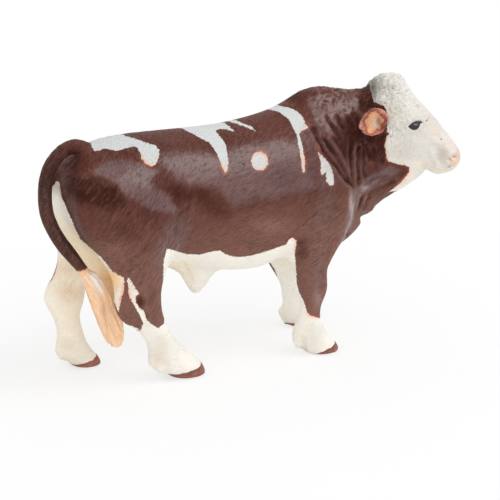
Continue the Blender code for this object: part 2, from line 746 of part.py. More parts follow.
def main():
    for old in list(bpy.data.objects):
        bpy.data.objects.remove(old)
    torso = make_torso()
    legs = [make_leg(name, torso) for name in LEG_TABLES]
    head, room = make_head()
    ears = [make_ear("right_ear", -1, head, room), make_ear("left_ear", 1, head, room)]
    seat_head(head, torso, room)
    tail = make_tail(torso)
    drop_slivers(torso)

    paint(torso, BROWN, GLOSS_ROUGHNESS)
    paint(tail, BROWN, GLOSS_ROUGHNESS)
    paint(head, WHITE, MATT_ROUGHNESS)
    for leg in legs:
        paint(leg, CREAM, MATT_ROUGHNESS)
    for ear in ears:
        paint(ear, BROWN, MATT_ROUGHNESS)
    stand_on_origin([torso, head, tail, *legs, *ears])


if __name__ == "__main__":
    main()
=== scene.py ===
"""The looks of a hand-painted toy farm bull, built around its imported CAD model.

One dense skin is fused from copies of the mouldings, sculpted and painted, and then parted again
where the real mouldings meet. Lengths are in millimetres until a mesh is handed over in metres.
"""

import logging
import math
from collections.abc import Callable, Sequence
from dataclasses import dataclass, field
from enum import Enum

import bmesh
import bpy
import numpy as np
from bmesh.types import BMEdge, BMesh, BMVert
from mathutils import Matrix, Vector
from mathutils.bvhtree import BVHTree


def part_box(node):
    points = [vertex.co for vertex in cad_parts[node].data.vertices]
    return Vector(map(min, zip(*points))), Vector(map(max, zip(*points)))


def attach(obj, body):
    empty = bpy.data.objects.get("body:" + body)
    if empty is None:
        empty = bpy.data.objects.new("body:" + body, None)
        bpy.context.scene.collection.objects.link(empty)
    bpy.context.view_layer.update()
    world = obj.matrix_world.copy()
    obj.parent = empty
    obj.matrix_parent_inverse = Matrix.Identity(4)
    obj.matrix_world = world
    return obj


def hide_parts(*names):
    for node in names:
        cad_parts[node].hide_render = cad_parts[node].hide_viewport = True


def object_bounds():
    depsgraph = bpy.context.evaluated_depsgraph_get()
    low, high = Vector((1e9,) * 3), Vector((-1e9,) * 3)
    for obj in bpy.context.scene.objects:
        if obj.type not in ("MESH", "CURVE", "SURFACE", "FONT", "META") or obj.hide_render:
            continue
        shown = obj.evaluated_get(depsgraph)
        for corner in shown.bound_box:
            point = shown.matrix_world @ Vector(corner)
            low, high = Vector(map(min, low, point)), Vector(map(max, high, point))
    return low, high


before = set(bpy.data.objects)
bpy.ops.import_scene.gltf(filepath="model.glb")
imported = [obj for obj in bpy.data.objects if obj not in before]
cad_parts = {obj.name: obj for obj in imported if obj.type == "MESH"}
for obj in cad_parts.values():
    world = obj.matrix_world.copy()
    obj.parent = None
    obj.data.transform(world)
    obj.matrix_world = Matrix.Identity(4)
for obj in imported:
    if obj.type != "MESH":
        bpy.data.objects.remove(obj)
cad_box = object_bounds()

LOG = logging.getLogger("toy_bull")
MM = 0.001
BODY = "root"
FAR = 1e6
LEGS = ("hind_right_leg", "hind_left_leg", "front_right_leg", "front_left_leg")
THROAT = (30.0, 50.0)

Array = np.ndarray
Triple = tuple[float, float, float]
Colour = Triple
Pixels = Sequence[tuple[float, float]]


def linear(red: float, green: float, blue: float) -> Colour:
    """Turns a display colour of 0 to 255 into the scene's linear values.

    Args:
        red: The colour's red.
        green: The colour's green.
        blue: The colour's blue.

    Returns:
        The linear red, green and blue.
    """
    shares = [value / 255 for value in (red, green, blue)]
    return tuple(s / 12.92 if s <= 0.04045 else ((s + 0.055) / 1.055) ** 2.4 for s in shares)


def smoothstep(values: Array, low: float, high: float) -> Array:
    """Eases from 0 at low to 1 at high.

    Args:
        values: What is eased.
        low: Where the result leaves 0.
        high: Where the result reaches 1.

    Returns:
        Shares from 0 to 1.
    """
    share = np.clip((values - low) / (high - low), 0, 1)
    return share * share * (3 - 2 * share)


def fade(values: Array, low: float, high: float) -> Array:
    """Eases from 1 at low to 0 at high."""
    return smoothstep(-values, -high, -low)


def bell(points: Array, centre: Sequence[float], reach: Sequence[float] | float) -> Array:
    """A soft weight round a centre.

    Args:
        points: Places, one a row.
        centre: Where the weight is 1.
        reach: The distance on each axis at which it has fallen to about a third.

    Returns:
        Weights from 0 to 1.
    """
    return np.exp(-(((points - np.array(centre)) / np.array(reach)) ** 2).sum(1))


def before_throat(points: Array) -> Array:
    """Which points lie far enough forward and up to belong to the head and throat."""
    return (points[:, 0] > THROAT[0]) & (points[:, 2] > THROAT[1])


def placed(name: str, data: bpy.types.ID) -> bpy.types.Object:
    """Puts a mesh, a lamp or a camera into the scene."""
    thing = bpy.data.objects.new(name, data)
    bpy.context.scene.collection.objects.link(thing)
    return thing


def aim(thing: bpy.types.Object, place: Vector, way: Vector) -> None:
    """Stands a lamp or camera at a place and turns it along a way."""
    thing.location = place
    thing.rotation_mode = "QUATERNION"
    thing.rotation_quaternion = way.to_track_quat("-Z", "Y")


def mesh_data(name: str, mesh: BMesh) -> bpy.types.Mesh:
    """Turns a mesh under work into one that the scene can show; the first is used up."""
    data = bpy.data.meshes.new(name)
    mesh.to_mesh(data)
    mesh.free()
    return data


def resize(mesh: BMesh, factor: float) -> None:
    """Scales a mesh about the origin."""
    bmesh.ops.scale(mesh, vec=(factor,) * 3, verts=mesh.verts)


def close(mesh: BMesh) -> None:
    """Fills every open rim of a mesh."""
    bmesh.ops.holes_fill(mesh, edges=[e for e in mesh.edges if len(e.link_faces) == 1], sides=0)


def refine(mesh: BMesh, where: Array) -> None:
    """Halves the edges that have both their ends where it is asked for."""
    edges = [edge for edge in mesh.edges if all(where[v.index] for v in edge.verts)]
    bmesh.ops.subdivide_edges(mesh, edges=edges, cuts=1, use_grid_fill=True)


def islands(mesh: BMesh) -> list[list[BMVert]]:
    """The connected pieces of a mesh, largest first."""
    found = []
    unseen = set(mesh.verts)
    while unseen:
        start = unseen.pop()
        island, rim = [start], [start]
        while rim:
            vertex = rim.pop()
            others = {edge.other_vert(vertex) for edge in vertex.link_edges} & unseen
            unseen -= others
            island.extend(others)
            rim.extend(others)
        found.append(island)
    return sorted(found, key=len, reverse=True)


@dataclass(frozen=True)
class PhotoView:
    """The camera that sees the figure as the photograph does."""

    azimuth: float = math.radians(-32)
    elevation: float = math.radians(15)
    lens: float = 100.0
    sensor: float = 36.0
    distance: float = 455.4
    target: Triple = (3.557, 3.119, 33.5)
    picture: float = 500.0

    @property
    def back(self) -> Array:
        """The direction from the target to the camera."""
        level = math.cos(self.elevation)
        across, along = math.sin(self.azimuth), -math.cos(self.azimuth)
        return np.array([across * level, along * level, math.sin(self.elevation)])

    @property
    def right(self) -> Array:
        """The picture's own right."""
        return np.array([math.cos(self.azimuth), math.sin(self.azimuth), 0])

    @property
    def up(self) -> Array:
        """The picture's own up."""
        return np.cross(self.back, self.right)

    @property
    def eye(self) -> Array:
        """Where the camera stands."""
        return np.array(self.target) + self.back * self.distance

    @property
    def scale(self) -> float:
        """Pixels for each unit of slope off the camera's axis."""
        return self.lens / self.sensor * self.picture

    @property
    def grain(self) -> float:
        """Pixels for each millimetre at the target."""
        return self.scale / self.distance

    def pixels(self, points: Array) -> Array:
        """Where points show in the picture.

        Args:
            points: Places, one a row.

        Returns:
            Picture places, one a row.
        """
        away = points - self.eye
        depth = -(away @ self.back)
        across = self.picture / 2 + self.scale * (away @ self.right) / depth
        down = self.picture / 2 - self.scale * (away @ self.up) / depth
        return np.stack([across, down], 1)

    def ray(self, pixel: tuple[float, float]) -> Vector:
        """The direction in which the camera sees a pixel."""
        half = self.picture / 2
        slope = self.right * (pixel[0] - half) / self.scale - self.up * (pixel[1] - half) / self.scale
        return Vector(slope - self.back).normalized()

    def place_camera(self) -> None:
        """Makes the scene's camera."""
        data = bpy.data.cameras.new("photo_camera")
        data.lens = self.lens
        data.sensor_width = self.sensor
        data.clip_start = self.distance * MM / 50
        data.clip_end = self.distance * MM * 50
        camera = placed("photo_camera", data)
        aim(camera, Vector(self.eye) * MM, Vector(-self.back))
        bpy.context.scene.camera = camera


VIEW = PhotoView()


class Noise:
    """Smooth noise in space, the same on every run."""

    def __init__(self, seed: int) -> None:
        """Draws the lattice's slopes.

        Args:
            seed: Which noise this is.
        """
        draw = np.random.RandomState(seed)
        self.order = np.tile(draw.permutation(256), 2)
        slopes = draw.normal(size=(256, 3))
        self.slopes = slopes / np.linalg.norm(slopes, axis=1)[:, None]

    def __call__(self, points: Array) -> Array:
        """Samples the noise.

        Args:
            points: Places, one a row, with a feature about 1 wide.

        Returns:
            Values from about -1 to 1.
        """
        cell = np.floor(points).astype(int)
        part = points - cell
        ease = part * part * part * (part * (part * 6 - 15) + 10)
        cell &= 255
        total = np.zeros(len(points))
        for corner in np.ndindex(2, 2, 2):
            step = np.array(corner)
            at = (cell + step) & 255
            slope = self.slopes[self.order[self.order[self.order[at[:, 0]] + at[:, 1]] + at[:, 2]]]
            weight = np.where(step, ease, 1 - ease).prod(1)
            total += weight * ((part - step) * slope).sum(1)
        return total * 1.6

    def drift(self, points: Array, shifts: Sequence[float]) -> Array:
        """Independent noises side by side, one for each shift."""
        return np.stack([self(points + shift) for shift in shifts], 1)


def to_stretch(points: Array, start: Array, end: Array) -> Array:
    """Squared distance of each point to the stretch from start to end."""
    side = end - start
    away = points - start
    share = np.clip(away @ side / max(side @ side, 1e-9), 0, 1)
    return ((away - share[:, None] * side) ** 2).sum(1)


def inside(pixels: Array, outline: Pixels) -> Array:
    """Signed distance to an outline in the picture.

    Args:
        pixels: Picture places, one a row.
        outline: The corners of a closed outline.

    Returns:
        Distances, above 0 inside, in millimetres at the figure.
    """
    corners = np.array(outline, float)
    nearest = np.full(len(pixels), np.inf)
    within = np.zeros(len(pixels), bool)
    for start, end in zip(corners, np.roll(corners, -1, 0)):
        nearest = np.minimum(nearest, to_stretch(pixels, start, end))
        side = end - start
        crosses = (start[1] > pixels[:, 1]) != (end[1] > pixels[:, 1])
        rise = side[1] if abs(side[1]) > 1e-9 else 1e-9
        within ^= crosses & (pixels[:, 0] < start[0] + (pixels[:, 1] - start[1]) * side[0] / rise)
    return np.where(within, 1, -1) * np.sqrt(nearest) / VIEW.grain


def to_line(points: Array, line: Array) -> Array:
    """Distance to an open line of points.

    Args:
        points: Places, one a row.
        line: The line's points, in order.

    Returns:
        The distance of each place.
    """
    return np.sqrt(np.min([to_stretch(points, start, end) for start, end in zip(line, line[1:])], axis=0))


@dataclass(frozen=True)
class HeadFrame:
    """The head's own frame: along the face, to its left, and out of its forehead."""

    seat: Triple = (47.857, -5.881, 76.5)
    pitch: float = math.radians(38.5)
    turn: float = math.radians(-37)

    @property
    def axes(self) -> Array:
        """Rows that point along the face, left and out."""
        turn = Matrix.Rotation(self.turn, 3, "Z") @ Matrix.Rotation(self.pitch, 3, "Y")
        return np.array(turn).T

    def local(self, points: Array) -> Array:
        """Places in the head's own frame."""
        return (points - np.array(self.seat)) @ self.axes.T

    def world(self, points: Array) -> Array:
        """Places of the head's own frame in the figure's."""
        return points @ self.axes + np.array(self.seat)


HEAD = HeadFrame()


@dataclass(frozen=True)
class Symmetry:
    """How the far half of the figure maps onto the half that the photograph shows."""

    middle: float = 3.119
    bend_start: float = 28.0
    bend: float = 0.42
    hind_stride: float = 23.4
    fore_stride: float = -11.0
    stride_top: float = 50.0
    girdle: float = 0.0

    def centre(self, points: Array) -> Array:
        """How far left the middle of the trunk or neck lies at each point."""
        return self.middle - np.maximum(points[:, 0] - self.bend_start, 0) * self.bend

    def stride(self, points: Array) -> Array:
        """How far a near leg stands in front of its far one."""
        return np.where(points[:, 0] < self.girdle, self.hind_stride, self.fore_stride)

    def near(self, points: Array, normals: Array) -> tuple[Array, Array]:
        """Folds the far half onto the near half.

        Args:
            points: Places, one a row.
            normals: Outward directions, one a row.

        Returns:
            The folded places and directions.
        """
        points, normals = points.copy(), normals.copy()
        centre = self.centre(points)
        far = points[:, 1] > centre
        local = HEAD.local(points)
        head = (local[:, 0] > -4) & (np.abs(local[:, 1]) < 20) & (points[:, 2] > 50)
        trunk = far & ~head
        points[trunk, 1] = 2 * centre[trunk] - points[trunk, 1]
        normals[trunk, 1] *= -1
        low = smoothstep(self.stride_top - points[:, 2], 0, self.stride_top)
        points[:, 0] += np.where(trunk, low * self.stride(points), 0)
        face = head & (local[:, 1] > 0)
        local[face, 1] *= -1
        points[face] = HEAD.world(local[face])
        axes = HEAD.axes
        turned = normals[face] @ axes.T
        turned[:, 1] *= -1
        normals[face] = turned @ axes
        return points, normals


SYMMETRY = Symmetry()


class Socket:
    """A shader value that can be written into sums."""

    def __init__(self, shader: "Shader", link: bpy.types.NodeSocket) -> None:
        """Keeps the socket and the shader that it belongs to."""
        self.shader = shader
        self.link = link

    def _math(self, operation: str, *values: "Socket | float") -> "Socket":
        """Adds one Math node."""
        return self.shader.node("ShaderNodeMath", {"operation": operation}, dict(enumerate(values)))

    def __add__(self, other: "Socket | float") -> "Socket":
        """The sum."""
        return self._math("ADD", self, other)

    __radd__ = __add__

    def __sub__(self, other: "Socket | float") -> "Socket":
        """The difference."""
        return self._math("SUBTRACT", self, other)

    def __rsub__(self, other: float) -> "Socket":
        """The difference the other way round."""
        return self._math("SUBTRACT", other, self)

    def __mul__(self, other: "Socket | float") -> "Socket":
        """The product."""
        return self._math("MULTIPLY", self, other)

    __rmul__ = __mul__

    def __neg__(self) -> "Socket":
        """The value with its sign turned."""
        return self._math("MULTIPLY", self, -1.0)

    def step(self, low: float, high: float) -> "Socket":
        """Eases from 0 at low to 1 at high."""
        return self.shader.node(
            "ShaderNodeMapRange",
            {"interpolation_type": "SMOOTHSTEP"},
            {"Value": self, "From Min": low, "From Max": high},
        )


class Nodes:
    """A node tree that is written as sums."""

    def __init__(self, tree: bpy.types.NodeTree) -> None:
        """Takes the tree."""
        self.tree = tree

    def node(
        self, kind: str, settings: dict[str, object], inputs: dict[str | int, object], output: str | int = 0
    ) -> Socket:
        """Adds any node.

        Args:
            kind: The node's type.
            settings: Properties, which are set first.
            inputs: Values or links by socket.
            output: The socket that is returned.

        Returns:
            The chosen output.
        """
        made = self.tree.nodes.new(kind)
        for name, value in settings.items():
            setattr(made, name, value)
        for name, value in inputs.items():
            if isinstance(value, Socket):
                self.tree.links.new(value.link, made.inputs[name])
            else:
                made.inputs[name].default_value = value
        return Socket(self, made.outputs[output])

    def end(self, value: Socket) -> None:
        """Links a surface to the tree's output."""
        last = next(node for node in self.tree.nodes if node.type.startswith("OUTPUT"))
        self.tree.links.new(value.link, last.inputs["Surface"])

    def shown(self) -> Socket:
        """1 for rays that show the background, 0 for those that light the figure."""
        rays = ("Camera", "Glossy", "Transmission")
        return sum(self.node("ShaderNodeLightPath", {}, {}, f"Is {ray} Ray") for ray in rays).step(0.0, 1.0)


class Shader(Nodes):
    """One material's node tree."""

    def __init__(self, name: str) -> None:
        """Makes the material.

        Args:
            name: The material's name.
        """
        self.material = bpy.data.materials.new(name)
        self.material.use_nodes = True
        super().__init__(self.material.node_tree)
        self.surface = self.tree.nodes["Principled BSDF"]

    def attribute(self, name: str, output: str = "Fac") -> Socket:
        """A value kept on the mesh."""
        return self.node("ShaderNodeAttribute", {"attribute_name": name}, {}, output)

    def noise(self, slope: float, grain: Sequence[float], detail: float = 2.0) -> Socket:
        """Noise about 0, mostly from -0.25 to 0.25, in a frame that slopes along the sides.

        Args:
            slope: How far the frame's first axis rises, in degrees.
            grain: The width of a feature on each axis, in millimetres.
            detail: Rounds of finer noise.

        Returns:
            The noise.
        """
        source = self.node("ShaderNodeTexCoord", {}, {}, "Object")
        turn = (0, -math.radians(slope), 0)
        places = self.node(
            "ShaderNodeMapping",
            {"vector_type": "TEXTURE"},
            {"Vector": source, "Rotation": turn, "Scale": tuple(width * MM for width in grain)},
        )
        value = self.node(
            "ShaderNodeTexNoise",
            {"noise_dimensions": "3D"},
            {"Vector": places, "Scale": 1.0, "Detail": detail, "Roughness": 0.55},
        )
        return value - 0.5

    def mix(self, share: Socket, low: Socket | Colour, high: Socket | Colour) -> Socket:
        """Mixes two colours by a share of the second."""
        ends = [(*end, 1.0) if isinstance(end, tuple) else end for end in (low, high)]
        settings = {"data_type": "RGBA", "clamp_factor": True}
        return self.node("ShaderNodeMix", settings, {0: share, 6: ends[0], 7: ends[1]}, 2)

    def feed(self, name: str, value: object) -> None:
        """Links or sets one socket of the surface."""
        if isinstance(value, Socket):
            self.tree.links.new(value.link, self.surface.inputs[name])
        else:
            self.surface.inputs[name].default_value = value


class Slot(Enum):
    """The record's material slots."""

    BROWN = "brown_coat"
    FACE = "white_face"
    EAR = "ear_paint"
    LEG = "cream_leg"


@dataclass(frozen=True)
class PaintedPlastic:
    """Moulded plastic under a hand-painted coat, dark where the coat attribute is above 0."""

    slot: Slot
    dark_roughness: float = 0.66
    light_roughness: float = 0.58
    edge_blur: float = 0.07
    edge_wobble: float = 0.6
    edge_hair: float = 1.05
    rim_width: float = 0.9
    rim: Colour = linear(172, 88, 60)
    blush: Colour = linear(234, 176, 138)
    furrow_shade: Colour = linear(44, 18, 12)
    ridge_highlight: Colour = linear(150, 110, 100)
    wool_hollow_shade: Colour = linear(158, 150, 128)
    pale_furrow_shade: Colour = linear(196, 176, 146)
    eye_black: Colour = linear(14, 15, 17)
    eye_glint_grey: Colour = linear(128, 134, 136)
    hair: Triple = (2.4, 1.1, 0.3)
    gloss: float = 0.09
    varnish_roughness: float = 0.27
    bump: float = 1.0

    def build(self) -> bpy.types.Material:
        """Makes the material.

        Returns:
            The finished material.
        """
        shader = Shader(self.slot.value + "_paint")
        fine = shader.noise(0, (0.8, 0.8, 0.8), 3)
        broad = shader.noise(30, (14, 10, 9), 2)
        haunch, shoulder = shader.attribute("haunch"), shader.attribute("shoulder")
        level = shader.noise(20, self.hair, 1.5)
        fur = level + haunch * (shader.noise(50, self.hair, 1.5) - level)
        fur = fur + shoulder * (shader.noise(38, self.hair, 1.5) - level)
        relief = shader.attribute("relief")
        coat = shader.attribute("coat") + fine * self.edge_wobble + fur * self.edge_hair
        dark = coat.step(-self.edge_blur, self.edge_blur)
        speck = shader.noise(30, (1.7, 1.3, 0.8), 2)
        patchy = (speck + broad + 0.1).step(-0.25, 0.1)
        rim = coat.step(0.0, 0.15) * (1.0 - coat.step(0.2, self.rim_width)) * patchy
        ridges = relief * 0.45 + fur * 3.6 + broad * 1.0
        furrow = (-ridges).step(-0.1, 1.3)
        crest = ridges.step(0.0, 1.3)
        brown = shader.attribute("dark_coat", "Color")
        # Painted shade in the furrows of the fur and relief, and painted highlight on their ridges.
        brown = shader.mix(furrow * 0.55, brown, self.furrow_shade)
        brown = shader.mix(crest * 0.3, brown, self.ridge_highlight)
        brown = shader.mix(rim * shader.attribute("rim"), brown, self.rim)
        pale = shader.attribute("light_coat", "Color")
        # Painted shade, grey-beige, in the hollows of the wool.
        wool_shade_and_eye_glint = (shader.attribute("wool_shade_and_eye_glint") + fine * 0.5).step(0.2, 1.1)
        pale = shader.mix(wool_shade_and_eye_glint * 0.34, pale, self.wool_hollow_shade)
        # Painted shade in the furrows of the fur on the white coat.
        pale = shader.mix((-fur).step(0.1, 0.5) * 0.11, pale, self.pale_furrow_shade)
        blush = (coat + 1.5).step(0.0, 1.5) * shader.attribute("rim") * patchy
        pale = shader.mix(blush * 0.9, pale, self.blush)
        colour = shader.mix(dark, pale, brown)
        eye = shader.attribute("eye").step(-0.05, 0.05)
        # A painted highlight: a grey glint on the black eye.
        eye_glint_share = shader.attribute("wool_shade_and_eye_glint").step(0.35, 0.95) * 0.8
        colour = shader.mix(eye, colour, shader.mix(eye_glint_share, self.eye_black, self.eye_glint_grey))
        shader.feed("Base Color", colour)
        rough = self.light_roughness + dark * (self.dark_roughness - self.light_roughness)
        rough = rough + fine * 0.15 + furrow * 0.12
        shader.feed("Roughness", rough * (1.0 - eye * 0.75))
        shader.feed("Specular IOR Level", self.gloss)
        polish = shader.attribute("polish") * dark * (1.0 + fur * 1.4 + speck * 2.2) + eye
        shader.feed("Coat Weight", polish.step(0.0, 1.0))
        shader.feed("Coat Roughness", self.varnish_roughness)
        height = fur * (0.5 + dark * 0.5) + fine * 0.12
        inputs = {"Strength": 1.0, "Distance": self.bump * MM, "Height": height}
        shader.feed("Normal", shader.node("ShaderNodeBump", {}, inputs, "Normal"))
        return shader.material


def within_box(place: Vector, give: float = 0.35) -> Vector:
    """Eases a place back that would stand outside the figure's own box.

    Args:
        place: A place, in millimetres.
        give: The depth under each side of the box over which it is eased.

    Returns:
        The place, inside the box.
    """
    kept_in = []
    for value, low, high in zip(place, *cad_box):
        low, high = low / MM, high / MM
        if value > high - give:
            value = high - give * math.exp(-(value - high + give) / give)
        elif low < 0 and value < low + give:
            value = low + give * math.exp((value - low - give) / give)
        kept_in.append(max(value, low))
    return Vector(kept_in)


def finish(
    name: str, mesh: BMesh, material: bpy.types.Material, nodes: Sequence[str]
) -> bpy.types.Object:
    """Puts a finished piece into the scene, fastened to the body, and hides the CAD nodes that it stands for.

    Args:
        name: The piece's name.
        mesh: Its mesh, in millimetres, which is used up.
        material: Its finish.
        nodes: The CAD nodes that it stands for.

    Returns:
        The finished object.
    """
    for vertex in mesh.verts:
        vertex.co = within_box(vertex.co)
    resize(mesh, MM)
    data = mesh_data(name, mesh)
    data.shade_smooth()
    data.materials.append(material)
    piece = placed(name, data)
    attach(piece, BODY)
    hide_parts(*nodes)
    LOG.info("%s: %d faces", name, len(data.polygons))
    return piece


def shading_from(piece: bpy.types.Object) -> None:
    """Shades a piece by the directions that its skin had before it was parted."""
    data = piece.data
    normals = np.zeros(len(data.vertices) * 3, np.float32)
    data.attributes["skin_normal"].data.foreach_get("vector", normals)
    normals = normals.reshape(-1, 3)
    normals /= np.maximum(np.linalg.norm(normals, axis=1)[:, None], 1e-9)
    data.normals_split_custom_set_from_vertices([tuple(n) for n in normals.tolist()])


class Surface:
    """A dense mesh as arrays, for sculpting and painting."""

    def __init__(self, mesh: BMesh) -> None:
        """Reads the mesh.

        Args:
            mesh: The skin, in millimetres.
        """
        self.mesh = mesh
        mesh.verts.index_update()
        self.edges = np.array([[v.index for v in edge.verts] for edge in mesh.edges], int)
        self.points = np.array([tuple(v.co) for v in mesh.verts], float)
        self.degree = np.maximum(np.bincount(self.edges.ravel(), minlength=len(self.points)), 1)
        self.read_normals()

    def read_normals(self) -> None:
        """Writes the places back and works the outward directions out again."""
        for vertex, place in zip(self.mesh.verts, self.points.tolist()):
            vertex.co = place
        self.mesh.normal_update()
        self.normals = np.array([tuple(v.normal) for v in self.mesh.verts], float)

    def neighbours(self, values: Array) -> Array:
        """The mean of each value's neighbours."""
        start, end = self.edges.T
        size = len(values)
        columns = values.reshape(size, -1).T
        sums = [np.bincount(start, one[end], size) + np.bincount(end, one[start], size) for one in columns]
        return (np.stack(sums, 1) / self.degree[:, None]).reshape(values.shape)

    def smooth(self, times: int, share: float = 0.5) -> None:
        """Relaxes the skin and reads its directions again."""
        for _ in range(times):
            self.points += share * (self.neighbours(self.points) - self.points)
        self.read_normals()

    def blurred(self, values: Array, times: int) -> Array:
        """Values smoothed over the skin."""
        for _ in range(times):
            values = (values + self.neighbours(values)) / 2
        return values

    def push(self, height: Array) -> None:
        """Moves the skin out along its own directions."""
        self.points += self.normals * height[:, None]

    def tree(self) -> BVHTree:
        """A tree of the skin for finding places on it."""
        return BVHTree.FromBMesh(self.mesh)


def applied(thing: bpy.types.Object) -> bpy.types.Mesh:
    """The mesh that an object's modifiers make; the object is used up."""
    bpy.context.view_layer.update()
    shown = thing.evaluated_get(bpy.context.evaluated_depsgraph_get())
    data = bpy.data.meshes.new_from_object(shown)
    bpy.data.objects.remove(thing)
    return data


def dense_copy(
    name: str, swell: float, rounds: int = 2, flat: float = 25, square: float = 60, sharp: float = 42
) -> bpy.types.Mesh:
    """Makes a rounded, slightly larger copy of a CAD node.

    Args:
        name: The node.
        swell: How much larger it is all round, in millimetres.
        rounds: Rounds of subdivision.
        flat: The bend up to which two triangles are joined, in degrees.
        square: How skew such a face may be, in degrees.
        sharp: The bend above which an edge stays sharp, in degrees.

    Returns:
        The copy, in metres.
    """
    mesh = bmesh.new()
    mesh.from_mesh(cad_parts[name].data)
    bmesh.ops.remove_doubles(mesh, verts=mesh.verts, dist=0.002 * MM)
    bmesh.ops.join_triangles(
        mesh,
        faces=mesh.faces,
        angle_face_threshold=math.radians(flat),
        angle_shape_threshold=math.radians(square),
    )
    crease = mesh.edges.layers.float.new("crease_edge")
    for edge in mesh.edges:
        if len(edge.link_faces) != 2 or edge.calc_face_angle(0) > math.radians(sharp):
            edge[crease] = 1
    copy = placed(name + "_copy", mesh_data(name + "_copy", mesh))
    rounded = copy.modifiers.new("rounded", "SUBSURF")
    rounded.levels = rounded.render_levels = rounds
    larger = copy.modifiers.new("larger", "DISPLACE")
    larger.mid_level = 0
    larger.strength = swell * MM
    return applied(copy)


@dataclass(frozen=True)
class TailSeam:
    """The plane on which the tail leaves the rump."""

    place: Triple = (-61.5, 3.119, 73.3)
    way: Triple = (-0.87, 0.0, -0.5)

    def halved(self, mesh: BMesh, shift: float, root: bool) -> None:
        """Keeps one side of the plane and closes it.

        Args:
            mesh: The tail, in millimetres.
            shift: How far the plane is moved towards the tip.
            root: Whether the root's side stays.
        """
        way = Vector(self.way).normalized()
        bmesh.ops.bisect_plane(
            mesh,
            geom=[*mesh.verts, *mesh.edges, *mesh.faces],
            plane_co=Vector(self.place) + way * shift,
            plane_no=way,
            clear_outer=root,
            clear_inner=not root,
        )
        close(mesh)

    def root_side(self, data: bpy.types.Mesh, shift: float) -> bpy.types.Mesh:
        """The part of the tail that is moulded onto the rump.

        Args:
            data: The whole tail, in metres, which is changed.
            shift: How far past the plane the part reaches.

        Returns:
            The same mesh, halved.
        """
        mesh = bmesh.new()
        mesh.from_mesh(data)
        resize(mesh, 1 / MM)
        self.halved(mesh, shift, True)
        resize(mesh, MM)
        mesh.to_mesh(data)
        mesh.free()
        return data


TAIL = TailSeam()


def even_mesh(data: bpy.types.Mesh, voxel: float) -> BMesh:
    """Remeshes closed shells into one even skin.

    Args:
        data: The shells, in metres, which are used up.
        voxel: The width of a face.

    Returns:
        The skin, in millimetres.
    """
    shell = placed("shell", data)
    remesh = shell.modifiers.new("even", "REMESH")
    remesh.mode = "VOXEL"
    remesh.voxel_size = voxel * MM
    mesh = bmesh.new()
    made = applied(shell)
    mesh.from_mesh(made)
    bpy.data.meshes.remove(made)
    bpy.data.meshes.remove(data)
    crumbs = [vertex for island in islands(mesh)[1:] for vertex in island]
    bmesh.ops.delete(mesh, geom=crumbs, context="VERTS")
    resize(mesh, 1 / MM)
    bmesh.ops.recalc_face_normals(mesh, faces=mesh.faces)
    return mesh


@dataclass
class Skin:
    """The figure's skin in one piece, from poll to hooves."""

    nodes: tuple[str, ...] = ("torso", "head", *LEGS)
    voxel: float = 0.54
    swell: float = 0.3
    shrink: float = 0.24
    settling: int = 4
    smoothing: int = 12
    stub: float = 3.0
    finer_round_face: float = 1.2

    def build(self) -> BMesh:
        """Fuses the copies and refines the head.

        Returns:
            The skin, in millimetres.
        """
        shells = [dense_copy(name, self.swell) for name in self.nodes]
        shells.append(TAIL.root_side(dense_copy("tail", self.swell), self.stub))
        joined = bmesh.new()
        for data in shells:
            joined.from_mesh(data)
            bpy.data.meshes.remove(data)
        mesh = even_mesh(mesh_data("fused", joined), self.voxel)
        surface = Surface(mesh)
        surface.smooth(self.settling)
        surface.push(np.full(len(surface.points), -self.shrink))
        surface.smooth(self.smoothing)
        folded, _ = SYMMETRY.near(surface.points, surface.normals)
        refine(mesh, before_throat(folded) & (inside(VIEW.pixels(folded), FACE) > -self.finer_round_face))
        return mesh


BACK_PATCHES: tuple[Pixels, ...] = (
    (
        (88, 128), (88, 137), (90.7, 142.3), (93.8, 151.3), (96, 150.8), (105.9, 148.6), (115.7, 150.8),
        (123.8, 149), (130.9, 146.8), (137, 146.8), (139.8, 152), (141.6, 158.4), (146, 163.8),
        (151.4, 166.3), (156.8, 163.8), (159, 157.5), (159, 149.5), (155, 145), (144.3, 142.3),
        (132.7, 137.9), (124.6, 135.9), (124, 126),
    ),
    (
        (180, 120), (183.4, 129), (195.9, 135.7), (208.4, 142), (213.8, 148.2), (219, 158), (222.7, 167.9),
        (225.4, 173.7), (227.6, 170.5), (228.5, 161.6), (227, 153.6), (225.8, 144.6), (221.8, 138.4),
        (215.5, 131.3), (219, 128.4), (227, 129.5), (234.3, 132), (239.6, 136.4), (229.8, 126.8),
        (225.4, 123.7), (224, 112),
    ),
    ((230, 112), (231, 122), (245, 126.8), (255.3, 130.8), (252, 126.8), (237, 121), (236, 112)),
    (
        (266, 100), (268, 108.8), (278.7, 112), (288.3, 118.8), (293, 127.4), (296.9, 135), (298.3, 144.6),
        (300.7, 156), (302.6, 172), (305, 172), (305, 161), (303, 149.4), (300.7, 138.9), (299.3, 134),
        (301.7, 130.3), (308.4, 127.4), (305, 123.6), (303, 116.9), (296.9, 111), (288.3, 107.3),
        (280.6, 105.9), (278, 97),
    ),
    (
        (317.5, 151.3), (320.8, 161.9), (320.8, 175.3), (326.6, 171.9), (326, 181), (331.3, 186.7),
        (334.2, 183.9), (333.3, 175.3), (331.3, 167.6), (325.6, 159),
    ),
    tuple((259.6 + 8.6 * math.cos(a), 161.2 + 9.6 * math.sin(a)) for a in np.linspace(0, math.tau, 24)[:-1]),
)
BELLY: Pixels = (
    (163.5, 262), (166.9, 248.7), (187.5, 254.2), (199.4, 254.7), (206, 253), (220, 250.4), (225.4, 254.2),
    (234, 256.9), (245, 256.9), (254.7, 254.7), (262.3, 252.5), (286.2, 244.4), (288.9, 239.5),
    (292.7, 237.9), (296.5, 240.6), (294.9, 252.5), (296.2, 270), (296.7, 289), (301, 295), (304.5, 303.6),
    (307, 312), (309.4, 315), (317.3, 317.6), (346, 322), (346, 400), (164.5, 400), (164.5, 323.3),
    (163.2, 300),
)
